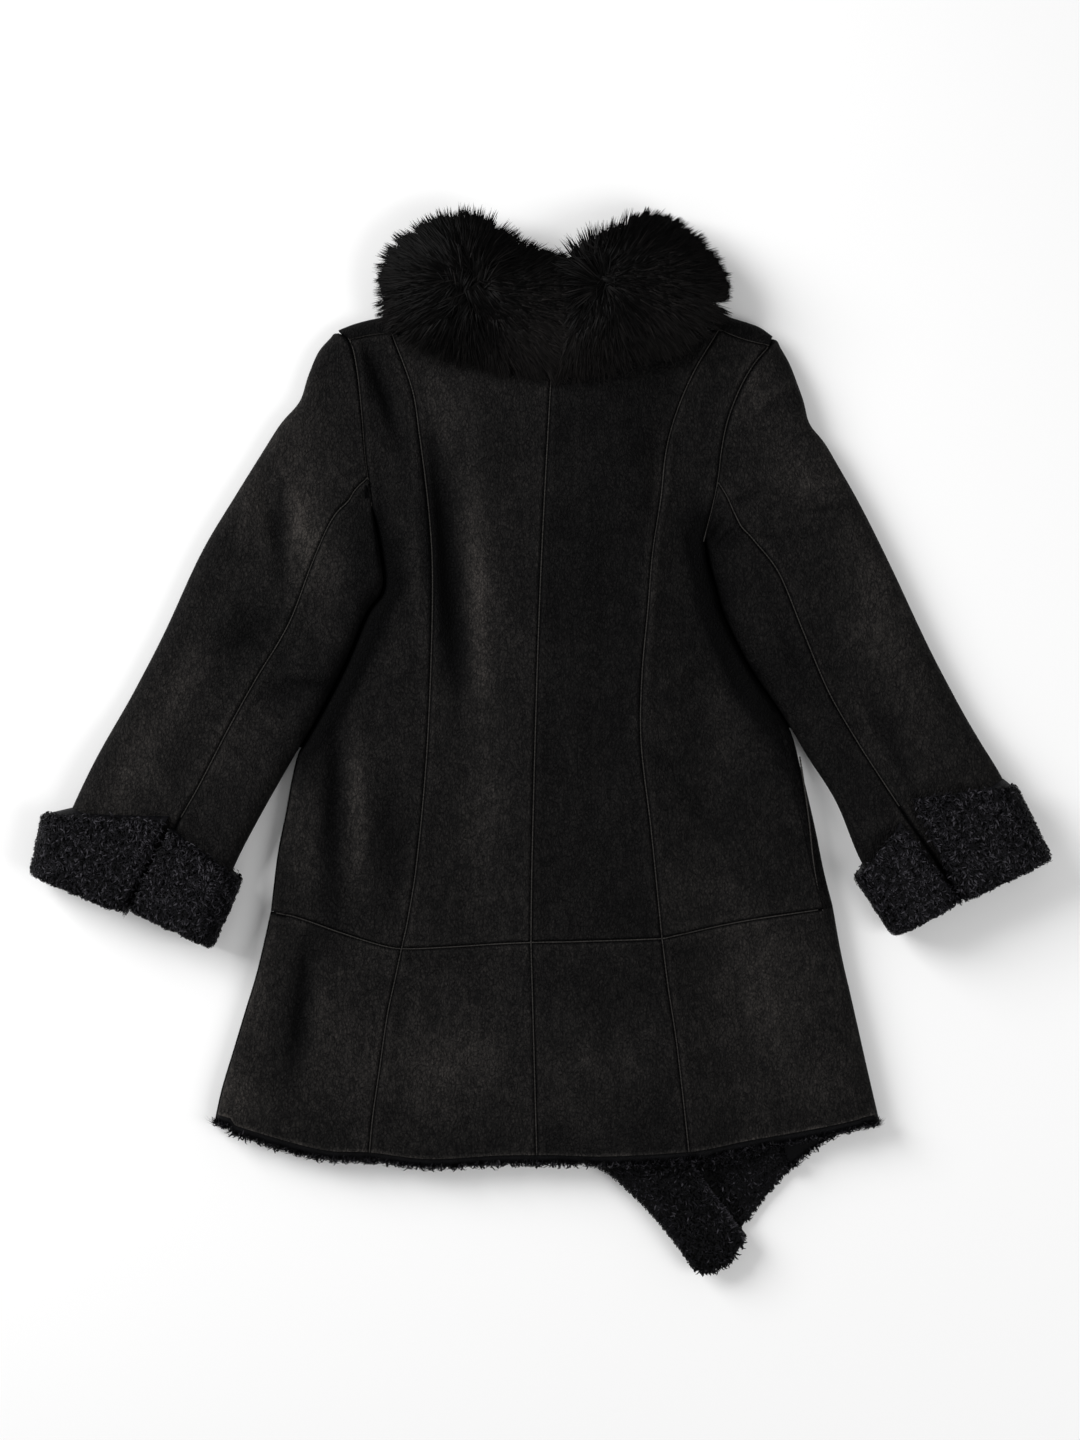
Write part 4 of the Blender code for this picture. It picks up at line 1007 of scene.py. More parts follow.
def build_sleeve(side, piece):
    name = f"{piece}_sleeve_{side}"
    rows = FIRST_ROW + (9 - FIRST_ROW) * graded(9 * SECTION_STEP, ROW_STEP, end=False)
    places = path_places(graded(SLEEVE_TOP_WIDTH[piece], CELL, end=False), *SLEEVE_STEPS)
    grid, from_seam = sleeve_points(side, piece, rows[:, None], places)
    from_armhole = np.broadcast_to((rows[:, None] - FIRST_ROW) * SECTION_STEP, from_seam.shape)
    grid, tones = sew(grid, True, np.where(places[0] == ROLL, 60.0, from_seam), from_armhole)
    grid[..., 2] = np.maximum(grid[..., 2], 0.0)
    grid = np.concatenate([tucked_row(grid)[None], grid])
    # The tucked row is painted darker: painted shade under the armhole.
    tones = np.concatenate([tones[:1] - 0.3, tones])
    finish_panel(name, grid, True, tones)
    if piece == "under":
        armhole_shade_strip(side)


# --- Curls and tufts --------------------------------------------------------------------------

def ribbons(paths, half_widths, sideways):
    """Flat strands along paths of shape (strands, points, 3), as points and quads."""
    count, steps = paths.shape[:2]
    offset = sideways * half_widths[..., None]
    points = np.stack([paths - offset, paths + offset], axis=2).reshape(-1, 3)
    base = np.arange(count)[:, None] * steps * 2 + np.arange(steps - 1)[None, :] * 2
    faces = np.stack([base, base + 1, base + 3, base + 2], axis=-1).reshape(-1, 4)
    return points, faces


# A curl bends over by this angle, and its forward reach, rise and sideways drift are these shares of
# its length.
CURL_BEND, CURL_REACH, CURL_RISE, CURL_DRIFT = 2.4, 0.55, 0.50, 0.16
CURL_FLOOR = 1.0   # the least height of a curl above the floor
CURL_STEPS, CURL_HALF_WIDTH = 4, 0.76


def curls(name, roots, normals, lie, seed, length=(3.8, 7.4), tone=0.42):
    """Short locks of curled wool that stand on a surface and bend over, as one mesh of ribbons."""
    rng = np.random.default_rng(seed)
    count = len(roots)
    long = rng.uniform(*length, count)
    side = unit(np.cross(normals, lie))
    forth = np.cross(side, normals)
    turn = rng.normal(0.0, 0.9, count)[:, None]
    forth, side = (forth * np.cos(turn) + side * np.sin(turn), side * np.cos(turn) - forth * np.sin(turn))
    wind = rng.uniform(1.6, 3.4, count) * rng.choice([-1.0, 1.0], count)
    paths = np.empty((count, CURL_STEPS, 3))
    for k in range(CURL_STEPS):
        s = k / (CURL_STEPS - 1)
        angle = s * CURL_BEND
        reach = (long * CURL_REACH * (1 - math.cos(angle)))[:, None]
        rise = (long * CURL_RISE * math.sin(angle))[:, None]
        drift = (CURL_DRIFT * long * np.sin(wind * s))[:, None]
        paths[:, k] = roots + forth * reach + normals * rise + side * drift
    paths[..., 2] = np.maximum(paths[..., 2], CURL_FLOOR)
    taper = np.interp(np.linspace(0, 1, CURL_STEPS), [0, 0.5, 1], [0.8, 1.0, 0.35])
    widths = CURL_HALF_WIDTH * taper[None, :] * rng.uniform(0.7, 1.3, (count, 1))
    points, faces = ribbons(paths, widths, side[:, None, :])
    from_root = np.repeat(np.linspace(0.0, 1.0, CURL_STEPS), 2)
    # Painted shade and highlight: each lock is darker at its root and lighter towards its tip, about its own
    # random tone.
    shades = (rng.normal(tone, 0.22, count)[:, None] + 0.7 * (from_root - 0.4)[None, :]).ravel()
    return attach(make_mesh(name, points, faces, MATERIAL["wool"], shades))


def scattered(grid, keep, count, seed):
    """Random places on a grid of points, more where keep is greater, with their normals."""
    rng = np.random.default_rng(seed)
    normal = normals_of(grid, True)
    sides = (np.linalg.norm(grid[1:, :-1] - grid[:-1, :-1], axis=2)
             * np.linalg.norm(grid[:-1, 1:] - grid[:-1, :-1], axis=2) * keep[:-1, :-1])
    chance = sides.ravel() / sides.sum()
    cells = rng.choice(len(chance), count, p=chance)
    i, j = np.unravel_index(cells, sides.shape)
    a, b = rng.random((count, 1)), rng.random((count, 1))
    corners = [(1 - a) * (1 - b), a * (1 - b), (1 - a) * b, a * b]
    at = [(i, j), (i + 1, j), (i, j + 1), (i + 1, j + 1)]
    places = sum(share * grid[place] for share, place in zip(corners, at))
    outward = sum(share * normal[place] for share, place in zip(corners, at))
    return places, unit(outward)


# --- Wool at the hems -------------------------------------------------------------------------

BAND = 16.0           # how far up from its end a hem's wool is modelled
BAND_ROOM = 4.0       # room below the wall's inside that the wool's locks take
TUFTS_PER_MM = 4.2    # along a hem
BAND_CURLS = 1700     # on the inside of a side front's band


def band_rows(band=BAND):
    """Rows of the last stretch of a panel below the hip seam."""
    return 1 - np.linspace(band, 0.0, int(band / 2) + 1) / LOWER_LENGTH


def wool_band(name, grid, faces_up, hidden, band=BAND):
    """The wool under a hide's lower end: rows of the hide's own surface, the last at the wool's end.

    hidden is how many millimetres of the band lie under the hide.
    """
    normal = normals_of(grid, faces_up)
    steps = np.linalg.norm(np.diff(grid, axis=0), axis=2)
    from_end = np.concatenate([np.cumsum(steps[::-1], axis=0)[::-1], np.zeros((1, grid.shape[1]))])
    free = smooth((band - hidden - from_end) / 3.0)
    lift = fleece(grid[..., 0], grid[..., 1], 12)
    round_off = np.sqrt(np.clip(from_end / 6.0, 0.0, 1.0))
    top_depth = HIDE + 0.3 + free * (1.4 - lift * 0.8) + (1 - round_off) * 3.5
    base_depth = WALL - BAND_ROOM + 0.9 * lift * (0.3 + 0.7 * round_off) - (1 - round_off) * 1.5
    top = grid - normal * top_depth[..., None]
    base = grid - normal * base_depth[..., None]
    if faces_up:
        base[..., 2] = np.maximum(base[..., 2], 0.2)
    # Painted shade and light: the wool's tone rises with the height of its curls, darker in their hollows.
    trims = [attach(wall(name + "_wool", top, base, MATERIAL["wool"], 0.1 + 0.1 * lift))]
    rng = np.random.default_rng(len(name) * 7)
    count = int(np.linalg.norm(np.diff(grid[-1], axis=0), axis=1).sum() * TUFTS_PER_MM)
    column = rng.uniform(0, grid.shape[1] - 1.001, count)
    depth = rng.uniform(1.2, WALL - 1.5, count)[:, None]
    end, up = between(grid[-1], column), between(normal[-1], column)
    outward = unit(between(grid[-1] - grid[-3], column))
    roots = end - up * depth - outward * (2.0 + rng.uniform(0, 3.0, count)[:, None])
    outward = unit(outward + up * rng.normal(0.0, 0.25, count)[:, None])
    bend = up * rng.choice([-1.0, 1.0], count, p=[0.6, 0.4])[:, None]
    trims.append(curls(name + "_tufts", roots, outward, bend, len(name), (7.0, 12.5), tone=0.55))
    if not faces_up:
        roots, inward = scattered(base, np.ones(from_end.shape), BAND_CURLS, 9)
        lie = np.tile((0.3, -0.9, 0.0), (len(roots), 1))
        trims.append(curls(name + "_curls", roots, inward, lie, 91 + len(name), tone=0.24))
    return trims


# --- Cuffs ------------------------------------------------------------------------------------

CUFF_ROLL = 24.0
CUFF_LENGTH = 88.0
CUFF_STEPS = (26, 8)   # round its edge's roll, and underneath
CUFF_TOP_WIDTH = {"upper": 98.0, "under": 64.0}
CUFF_CURLS = 5500    # on each of a cuff's pieces
SLIT_TUFTS = 700     # along each side of a cuff's slit, towards the fold
TURN_DEGREES = (10, 20, 30, 40, 50, 60, 75, 90)   # rows of the turned-back fold


def cuff_outside(side, piece, v, places):
    """Points on the cuff's wool, from its top edge, v = 0, to its fold, v = 1."""
    kinds, values = places
    v = np.asarray(v)[:, None, None]
    seam_top, far_top, seam_end, far_end, _ = (np.array(item) for item in CUFFS[side][piece])
    seam_side, far_side = lerp(seam_top, seam_end, v), lerp(far_top, far_end, v)
    width = np.linalg.norm(far_side - seam_side, axis=-1)
    height = CUFF_LIFT + sleeve_height(9.0) + CUFF_LIFT
    rolled = kinds == ROLL
    d = np.where(rolled, CUFF_ROLL * (1 - np.sin(values)), lerp(width - SEAM, CUFF_ROLL, values))
    z = np.where(rolled, height / 2 * (1 + np.cos(values)), np.where(kinds == TOP, height, 0.0))
    plan = lerp(far_side, seam_side, (d / width)[..., None])
    return np.dstack([plan, np.broadcast_to(z, d.shape)]), d


def slit_tufts(name, outer, way):
    """Wool that stands into the cuff's slit and closes its lower end."""
    edge, span = outer[:, 0], outer[:, 0] - outer[:, 3]
    rng = np.random.default_rng(len(name) + 3)
    at = rng.uniform(0.55 * len(edge), len(edge) - 5.0, SLIT_TUFTS)
    out = unit(span[at.astype(int)] * (1.0, 1.0, 0.0))
    roots = between(edge, at) - out * 2.0
    roots[:, 2] *= rng.uniform(0.25, 1.0, SLIT_TUFTS)
    lie = np.broadcast_to(way, roots.shape)
    return curls(name + "_slit_tufts", roots, out, lie, 33, (7.0, 11.0), tone=0.25)


def build_cuff(side, piece):
    seam_start, far_start = CUFFS[side][piece][4]
    end = len(SLEEVES[side]) - 1
    way = np.array([*unit(sleeve_outer(side, end) - sleeve_outer(side, end - 1)), 0.0])
    top = np.linspace(0.0, 1.0, int((CUFF_TOP_WIDTH[piece] - CUFF_ROLL) / WOOL_CELL) + 2)
    places = path_places(top, *CUFF_STEPS)
    kinds, values = places
    v = np.linspace(0.0, 1.0, int(CUFF_LENGTH / WOOL_CELL))

    def slit_edge(v, r):
        """The cuff's edge beside the slit, as a fraction across the sleeve's section."""
        corner = lerp(np.array(CUFFS[side][piece][0]), np.array(CUFFS[side][piece][2]), v[..., None])
        start = sleeve_outer(side, r)
        across = sleeve_inner(side, r) - start
        return np.sum((corner - start) * across, axis=-1) / np.sum(across * across, axis=-1)

    starts = np.where(kinds == ROLL, far_start, lerp(seam_start, far_start, values))
    v_all = np.broadcast_to(v[:, None], (len(v), len(kinds)))
    r = np.minimum(lerp(starts[None, :], end, v_all), end)
    inner, _ = sleeve_points(side, piece, r, places, grow=0.5, seam=slit_edge(v_all, r))
    inner[-1] += way * 0.6
    outer, d = cuff_outside(side, piece, v, places)
    end_row = np.full((1, len(kinds)), float(end))
    slit, _ = sleeve_points(side, piece, end_row, places, inside=True,
                            seam=slit_edge(np.ones(end_row.shape), end_row))
    outers, inners, ds = [outer], [inner], [d]
    for degrees in TURN_DEGREES:
        turn = math.radians(degrees)
        share = 0.5 * (1 - math.cos(turn))
        past = np.interp(degrees, (0, 30, 60, 90), (0.6, 0.6, 5.0, 9.0))
        outers.append(lerp(outer[-1:], slit, share) + way * CUFF_FOLD * math.sin(turn))
        inners.append(slit + way * past)
        ds.append(d[-1:])
    outer, inner, d = (np.concatenate(item) for item in (outers, inners, ds))
    smooth_outer = outer.copy()
    normal = normals_of(outer, True)
    down = np.concatenate([v * CUFF_LENGTH, CUFF_LENGTH + np.arange(1, 9) * 2.0])[:, None]
    across = np.where(kinds == ROLL, CUFF_ROLL * 0.9 * (values - math.pi / 2), np.where(
        kinds == TOP, d - CUFF_ROLL, 200.0 - d))
    lift = fleece(across + 0 * down, down + 0 * across, 5 if side == "left" else 6)
    shown = np.where(kinds == UNDER, 0.0, np.where(kinds == ROLL, np.cos(values / 2), 1.0))
    rim = np.minimum(np.minimum(down, np.where(kinds == TOP, d[:, :1] - d, 99.0)) / 6.0, 1.0)
    outer = outer + normal * ((lift - 3.4 - 2.2 * (1 - rim) ** 2) * shown)[..., None]
    outer[..., 2] = np.maximum(outer[..., 2], 0.0)
    name = f"cuff_{piece}_{side}"
    # Painted shade and light: the wool's tone rises with the height of its curls, darker in their hollows.
    made = wall(name + "_wool", outer, inner, MATERIAL["wool"], 0.2 + 0.12 * lift)
    keep = np.broadcast_to(np.where(kinds == UNDER, 0.06, 1.0), outer.shape[:2])
    roots, outward = scattered(outer, keep, CUFF_CURLS, 50 + len(name))
    lie = np.broadcast_to(way, roots.shape)
    locks = curls(name + "_curls", roots, outward, lie, 60 + len(name))
    tufts = slit_tufts(name, outer, way)
    declare_sheet(made, name)


# --- Collar -----------------------------------------------------------------------------------

LOBE_CENTRE = {"left": (-71.0, 454.0), "right": (59.0, 464.0)}
FUR_INSET_U, FUR_INSET_V = 0.10, 0.11   # how far the pelt lies inside the fur's outline
STRANDS = 13500         # on each lobe
RIM_STRANDS = 3200      # round each half of the under collar
STRAND_STEPS = 4
DROOP, GATHER = 0.55, 0.22   # how steeply a strand falls at its end, and how far it joins its lock
CLUMP = 6.5             # size of the locks that strands gather in
UNDER_INSET_U, UNDER_INSET_V, UNDER_END_V = 0.06, 0.07, 0.96   # the under collar inside the fur's outline
TUFT, ASTRAY = 11.0, 17.0    # size of the tufts on a lobe's crown, and how far they stray
MAP_CELL = 2.0          # of the map of heights that strands lie on


LAP_FROM, LAP_RISE, LAP_TO, LAP_SINK = -168, 95, 50, 100


def collar_lap(x):
    """How far the fronts' lap lifts the collar, along the neck."""
    return smooth((x - LAP_FROM) / LAP_RISE) * (1 - smooth((x - LAP_TO) / LAP_SINK))


def collar_floor(x):
    """Height of what the upper collar lies on."""
    return BODY + COLLAR_LAP + (WALL + SLIT) * collar_lap(x)


def collar_swell(u, v):
    """Fullness of the upper collar: none at its rim, and less where its two lobes meet."""
    across = np.sqrt(np.maximum(1 - (2 * v - 1) ** 2, 0.0)) ** 0.9
    tip = np.sqrt(1 - (1 - np.minimum(u / 0.42, 1.0)) ** 2)
    dip = 1 - 0.24 * np.exp(-((1 - u) / 0.13) ** 2)
    return across * tip * dip


def neck_line(side):
    """The under collar's lower edge: round its tip and then beside the neck."""
    xs, ys = np.array(NECK, float).T
    stops = lerp(COLLAR[side]["neck"][-1][0], 12.0, np.arange(1, 9) / 8)
    return COLLAR[side]["neck"] + [(x, float(hermite(xs, ys, x)) + 0.7) for x in stops]


def collar_patch(side, lower_line):
    """A collar half between its top line and a lower line, as point(along, down)."""
    top, bottom = curve(COLLAR[side]["top"]), curve(lower_line)
    sign = 1 if side == "left" else -1

    def point(u, v):
        u, v = np.broadcast_arrays(u, v)
        plan = lerp(top(u), bottom(u), v[..., None])
        return plan - np.stack([sign * SEAM * 0.6 * u, 0 * u], axis=-1)
    return point


def pelt(patch, u, v):
    """The skin that the upper collar's fur grows on, inside the fur's own outline."""
    plan = patch(lerp(FUR_INSET_U, 1.0, u), lerp(FUR_INSET_V, 1 - FUR_INSET_V, v))
    floor = collar_floor(plan[..., 0])
    swell = collar_swell(np.maximum(u, 0.0), v)
    return np.dstack([plan, floor + 3.0 + (COLLAR_TOP - 14.0 - floor) * swell])


def height_map(points, low):
    """The highest of many points in each cell of a map, as a function of x, y."""
    xy = points[..., :2].reshape(-1, 2)
    start = xy.min(axis=0) - 60
    size = ((xy.max(axis=0) + 60 - start) / MAP_CELL).astype(int) + 2
    heights = np.full(size, -1.0)
    index = ((xy - start) / MAP_CELL).astype(int)
    np.maximum.at(heights, (index[:, 0], index[:, 1]), points[..., 2].ravel())

    def at(x, y):
        i = np.clip(((x - start[0]) / MAP_CELL).astype(int), 0, size[0] - 1)
        j = np.clip(((y - start[1]) / MAP_CELL).astype(int), 0, size[1] - 1)
        found = heights[i, j]
        return np.where(found < 0, low(x, y), found)
    return at


def grow_fur(rng, roots, flow, lift, length, ground, width):
    """Paths of hairs that rise from their roots, bend over along flow and lie on the ground."""
    count = len(roots)
    key = np.floor(roots[:, :2] / CLUMP).astype(int)
    jitter = np.random.default_rng(17).uniform(-1.0, 1.0, (97, 97, 3))
    pull = jitter[key[:, 0] % 97, key[:, 1] % 97]
    centre = (key + 0.5 + 0.3 * pull[:, :2]) * CLUMP
    turn = 0.30 * pull[:, 2] + rng.normal(0.0, 0.10, count)
    cosine, sine = np.cos(turn), np.sin(turn)
    flow = np.stack([flow[:, 0] * cosine - flow[:, 1] * sine,
                     flow[:, 0] * sine + flow[:, 1] * cosine], axis=1)
    paths = np.empty((count, STRAND_STEPS + 1, 3))
    paths[:, 0] = roots
    step = length / STRAND_STEPS
    for k in range(1, STRAND_STEPS + 1):
        share = k / STRAND_STEPS
        rise = lift * (1 - share) - DROOP * share
        over = np.sqrt(np.maximum(1 - rise ** 2, 0.05))
        paths[:, k, :2] = paths[:, k - 1, :2] + flow * (over * step)[:, None]
        paths[:, k, 2] = paths[:, k - 1, 2] + rise * step
        drawn = centre + flow * (np.linalg.norm(paths[:, k, :2] - roots[:, :2], axis=1))[:, None]
        paths[:, k, :2] = lerp(paths[:, k, :2], drawn, GATHER * share)
        layer = 1.0 + 5.0 * rng.random(count) * (1 - 0.6 * share)
        paths[:, k, 2] = np.maximum(paths[:, k, 2], ground(paths[:, k, 0], paths[:, k, 1]) + layer)
    side = unit(np.stack([-flow[:, 1], flow[:, 0], rng.uniform(-0.5, 0.5, count)], axis=1))
    taper = np.array([1.0, 0.95, 0.75, 0.42, 0.04])
    return paths, width * taper[None, :] * rng.uniform(0.7, 1.3, (count, 1)), side[:, None, :]


def build_collar(side):
    rng = np.random.default_rng(41 if side == "left" else 42)
    patch = collar_patch(side, COLLAR[side]["bottom"])
    u = np.linspace(0.0, 1.0, 46)[None, :]
    v = np.linspace(0.0, 1.0, 40)[:, None]
    skin = pelt(patch, u, v)
    bed = skin.copy()
    bed[..., 2] = collar_floor(skin[..., 0])
    below = collar_patch(side, neck_line(side))
    under_plan = below(lerp(UNDER_INSET_U, 1.0, u), lerp(UNDER_INSET_V, UNDER_END_V, v))
    lap = collar_lap(under_plan[..., 0])
    lid = np.dstack([under_plan, collar_floor(under_plan[..., 0]) - 0.5 - 6.0 * lap * (1 - lap)])
    rim = 8.0 * (1 - smooth(np.minimum(np.minimum(v / 0.22, u / 0.16), 1.0)))
    base = np.dstack([under_plan, rim])

    def low(x, y):
        neck_y = np.interp(x, *np.array(NECK).T)
        return np.where(y < neck_y, back_top(x, y), 16.0)
    fine_u, fine_v = np.linspace(0, 1, 220)[None, :], np.linspace(0, 1, 180)[:, None]
    ground = height_map(pelt(patch, fine_u, fine_v), low)
    strand_u = rng.random(STRANDS) ** 0.9
    strand_v = rng.random(STRANDS)
    roots = pelt(patch, strand_u[:, None], strand_v[:, None])[:, 0]
    away = roots[:, :2] - np.array(LOBE_CENTRE[side])
    distance = np.linalg.norm(away, axis=1)
    tuft = np.floor(roots[:, :2] / TUFT).astype(int) % 61
    astray = np.random.default_rng(23).normal(0.0, ASTRAY, (61, 61, 2))[tuft[:, 0], tuft[:, 1]]
    away = away + astray * np.exp(-distance / 30.0)[:, None]
    flow = unit(away)
    lift = np.clip(0.9 - distance / 75.0, 0.12, 0.75)
    length = rng.uniform(26, 42, STRANDS) * lerp(1.1, 0.72, np.clip(distance / 80, 0, 1))
    paths, widths, sideways = grow_fur(rng, roots, flow, lift, length, ground, 0.66)
    points, faces = ribbons(paths, widths, sideways)
    # Painted light and shade: strands are darker near the lobe's centre and lighter towards its rim, most of
    # all below the centre; a few random strands are lighter in their own tone.
    outwards = np.clip((distance - 20.0) / 55.0, 0.0, 1.0)
    downwards = np.clip(-away[:, 1] / 60.0, -0.6, 1.0)
    light = 0.40 + 0.10 * outwards + 0.26 * outwards * downwards
    shades = light + rng.normal(0.0, 0.12, STRANDS) + 0.25 * (rng.random(STRANDS) < 0.05)
    shades = np.repeat(shades, (STRAND_STEPS + 1) * 2)
    attach(make_mesh(f"collar_back_{side}_hair", points, faces, MATERIAL["fur"], shades))
    for name, outer, inner in ((f"collar_back_{side}", skin, bed), (f"collar_front_{side}", lid, base)):
        piece = attach(wall(name + "_pelt", outer, inner, MATERIAL["fur"]))
        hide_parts(name)
    rim_fur(side, below, rng)


def rim_fur(side, below, rng):
    """Fur that shows round the under collar, between the upper collar and the floor."""
    u = rng.random(RIM_STRANDS)
    roots_plan = below(lerp(UNDER_INSET_U, 1.0, u), np.full(RIM_STRANDS, UNDER_INSET_V))
    tip = rng.random(RIM_STRANDS) < 0.25
    down = rng.random(RIM_STRANDS)
    roots_plan[tip] = below(np.full(tip.sum(), UNDER_INSET_U), lerp(UNDER_INSET_V, 0.5, down[tip]))
    flow = unit(roots_plan - np.array(LOBE_CENTRE[side]))
    roots = np.column_stack([roots_plan, rng.uniform(9, 32, RIM_STRANDS)])
    length = rng.uniform(12, 22, RIM_STRANDS)
    paths, widths, sideways = grow_fur(
        rng, roots, flow, np.full(RIM_STRANDS, 0.1), length, lambda x, y: 0 * x + 1.0, 0.6)
    points, faces = ribbons(paths, widths, sideways)
    shades = np.repeat(rng.normal(0.36, 0.12, RIM_STRANDS), (STRAND_STEPS + 1) * 2)
    attach(make_mesh(f"collar_front_{side}_hair", points, faces, MATERIAL["fur"], shades))


# --- Welts and stitches -----------------------------------------------------------------------

STITCH = 3.4        # length of a stitch
WELT_STEP = 1.13    # distance between points along a welt
# Across a welt: sideways, and up from the seam.
WELT_PROFILE = np.array([(-0.75, -0.7), (-0.45, 0.1), (0.0, 0.35), (0.45, 0.1), (0.75, -0.7)])
HIP_WELTS = ((-266, -141), (-139, -11), (-9, 120), (122, 278))   # ends of the hip seam's welts


def welt_strip(paths, name):
    """The narrow raised strips that show in sewn seams, drawn in a little at every stitch."""
    points, faces, first = [], [], 0
    for path, upward in paths:
        steps = np.linalg.norm(np.diff(path, axis=0), axis=1)
        run = np.concatenate([[0.0], np.cumsum(steps)])
        at = np.linspace(0.0, run[-1], int(run[-1] / WELT_STEP) + 2)
        path, upward = (np.column_stack([np.interp(at, run, values[:, k]) for k in range(3)])
                        for values in (path, upward))
        side = unit(np.cross(np.gradient(path, axis=0), upward))
        full = 1.0 + 0.22 * np.sin(2 * math.pi * at / STITCH)
        ring = (path[:, None] + side[:, None] * (WELT_PROFILE[:, 0] * full[:, None])[..., None]
                + upward[:, None] * (WELT_PROFILE[:, 1] * full[:, None])[..., None])
        points.append(ring.reshape(-1, 3))
        index = first + np.arange(len(at) * 5).reshape(-1, 5)
        faces.append(np.stack([index[:-1, :-1], index[1:, :-1], index[1:, 1:], index[:-1, 1:]],
                              axis=-1).reshape(-1, 4))
        faces.append(np.stack([index[:-1, -1], index[1:, -1], index[1:, 0], index[:-1, 0]], axis=-1))
        first += len(at) * 5
    attach(make_mesh(name, np.concatenate(points), np.concatenate(faces), MATERIAL["welt"]))


def upright(path):
    """Straight up, for every point of a path."""
    return np.tile((0.0, 0.0, 1.0), (len(path), 1))


def back_seam(plan, start=0.0, end=1.0):
    """A seam of the back, sunk into its groove, with the way that its strip faces."""
    flat = plan(np.linspace(start, end, 160))
    path = np.column_stack([flat, back_top(flat[:, 0], flat[:, 1]) - 0.9])
    return path, upright(path)


def build_welts():
    lengthwise = (PRINCESS_LEFT, CENTRE_BACK, PRINCESS_RIGHT)
    low_end = 1 - HEM_SHOWS / LOWER_LENGTH
    paths = [back_seam(curve(line)) for line in lengthwise]
    paths += [back_seam(curve(line), 0.0, low_end) for line in (
        LOW_PRINCESS_LEFT, LOW_CENTRE_BACK, LOW_PRINCESS_RIGHT)]
    paths += [back_seam(part_of(HIP, *ends)) for ends in HIP_WELTS]
    welt_strip(paths, "back_seam_welts")
    for side in ("left", "right"):
        rows = np.linspace(0.03, 7.5, 240)[:, None]
        places = (np.array([TOP, TOP]), np.array([0.0, 0.03]))
        grid, _ = sleeve_points(side, "upper", rows, places)
        path = grid[:, 0] + (0.0, 0.0, -0.9)
        head = curve(ARMHOLE[side])(np.linspace(0.06, 1.0, 90))
        armhole = np.column_stack([head, BODY + relief(*head.T) - 1.4])
        shoulder = curve(SHOULDER[side][0])(np.linspace(0, 1, 30))
        shoulder = np.column_stack([shoulder, np.full(30, BODY - 1.3)])
        lines = [path, armhole, shoulder]
        welt_strip([(line, upright(line)) for line in lines], f"sleeve_seam_welts_{side}")
    side_welt()


def side_welt():
    """The right side seam, which shows on top of the body's edge below the sleeve."""
    lines = []
    at = np.linspace(0.0, 0.97, 90)
    for edge, inward in ((SIDE_RIGHT, PRINCESS_RIGHT), (LOW_EDGE_RIGHT, LOW_PRINCESS_RIGHT)):
        points = curve(edge)(at)
        way = unit(curve(inward)(at) - points)
        inset = table_value(SIDE_SEAM_INSET, points[:, 1])
        angle = np.arcsin(1 - inset / EDGE_ROLL)
        points = points + way * inset[:, None]
        height = BODY / 2 * (1 + np.cos(angle)) - 0.6
        upward = np.column_stack([-way * np.sin(angle)[:, None], np.cos(angle)])
        lines.append((np.column_stack([points, height]), upward))
    welt_strip(lines, "side_seam_welt_right")


# --- Materials --------------------------------------------------------------------------------

class Nodes:
    """A material's nodes, added one at a time and joined by their sockets."""

    def __init__(self, name):
        self.material = bpy.data.materials.new(name)
        self.material.use_nodes = True
        self.tree = self.material.node_tree
        self.shader = self.tree.nodes["Principled BSDF"]

    def add(self, kind, settings=None, **inputs):
        made = self.tree.nodes.new("ShaderNode" + kind)
        for key, value in (settings or {}).items():
            setattr(made, key, value)
        for key, value in inputs.items():
            self.join(made.inputs[key.replace("_", " ")], value)
        return made

    def join(self, socket, value):
        if isinstance(value, bpy.types.NodeSocket):
            self.tree.links.new(value, socket)
        else:
            socket.default_value = value

    def math(self, operation, *values):
        made = self.add("Math", {"operation": operation})
        for socket, value in zip(made.inputs, values):
            self.join(socket, value)
        return made.outputs[0]

    def ramp(self, value, stops):
        made = self.add("ValToRGB")
        elements = made.color_ramp.elements
        while len(elements) < len(stops):
            elements.new(0.5)
        for element, (place, colour) in zip(elements, stops):
            element.position = place
            element.color = (*colour, 1.0)
        self.join(made.inputs["Fac"], value)
        return made.outputs["Color"]

    def places(self, scale=(1.0, 1.0, 1.0), turn=0.0):
        where = self.add("TexCoord").outputs["Object"]
        made = self.add("Mapping", Vector=where)
        made.inputs["Scale"].default_value = scale
        made.inputs["Rotation"].default_value = (0.0, 0.0, math.radians(turn))
        return made.outputs["Vector"]

    def noise(self, vector, scale, detail=4.0, roughness=0.55):
        return self.add("TexNoise", Vector=vector, Scale=scale, Detail=detail,
                        Roughness=roughness).outputs["Fac"]

    def bump(self, height, strength, distance, normal=None):
        made = self.add("Bump", Height=height, Strength=strength, Distance=distance)
        if normal is not None:
            self.join(made.inputs["Normal"], normal)
        return made.outputs["Normal"]

    def tone(self, *sources):
        """The points' own shade, changed by each source about its middle value and by its share."""
        tone = self.add("Attribute", {"attribute_name": "shade"}).outputs["Fac"]
        for source, middle, share in sources:
            change = self.math("MULTIPLY", self.math("SUBTRACT", source, middle), share)
            tone = self.math("ADD", tone, change)
        return tone

    def set(self, **values):
        for key, value in values.items():
            self.join(self.shader.inputs[key.replace("_", " ")], value)


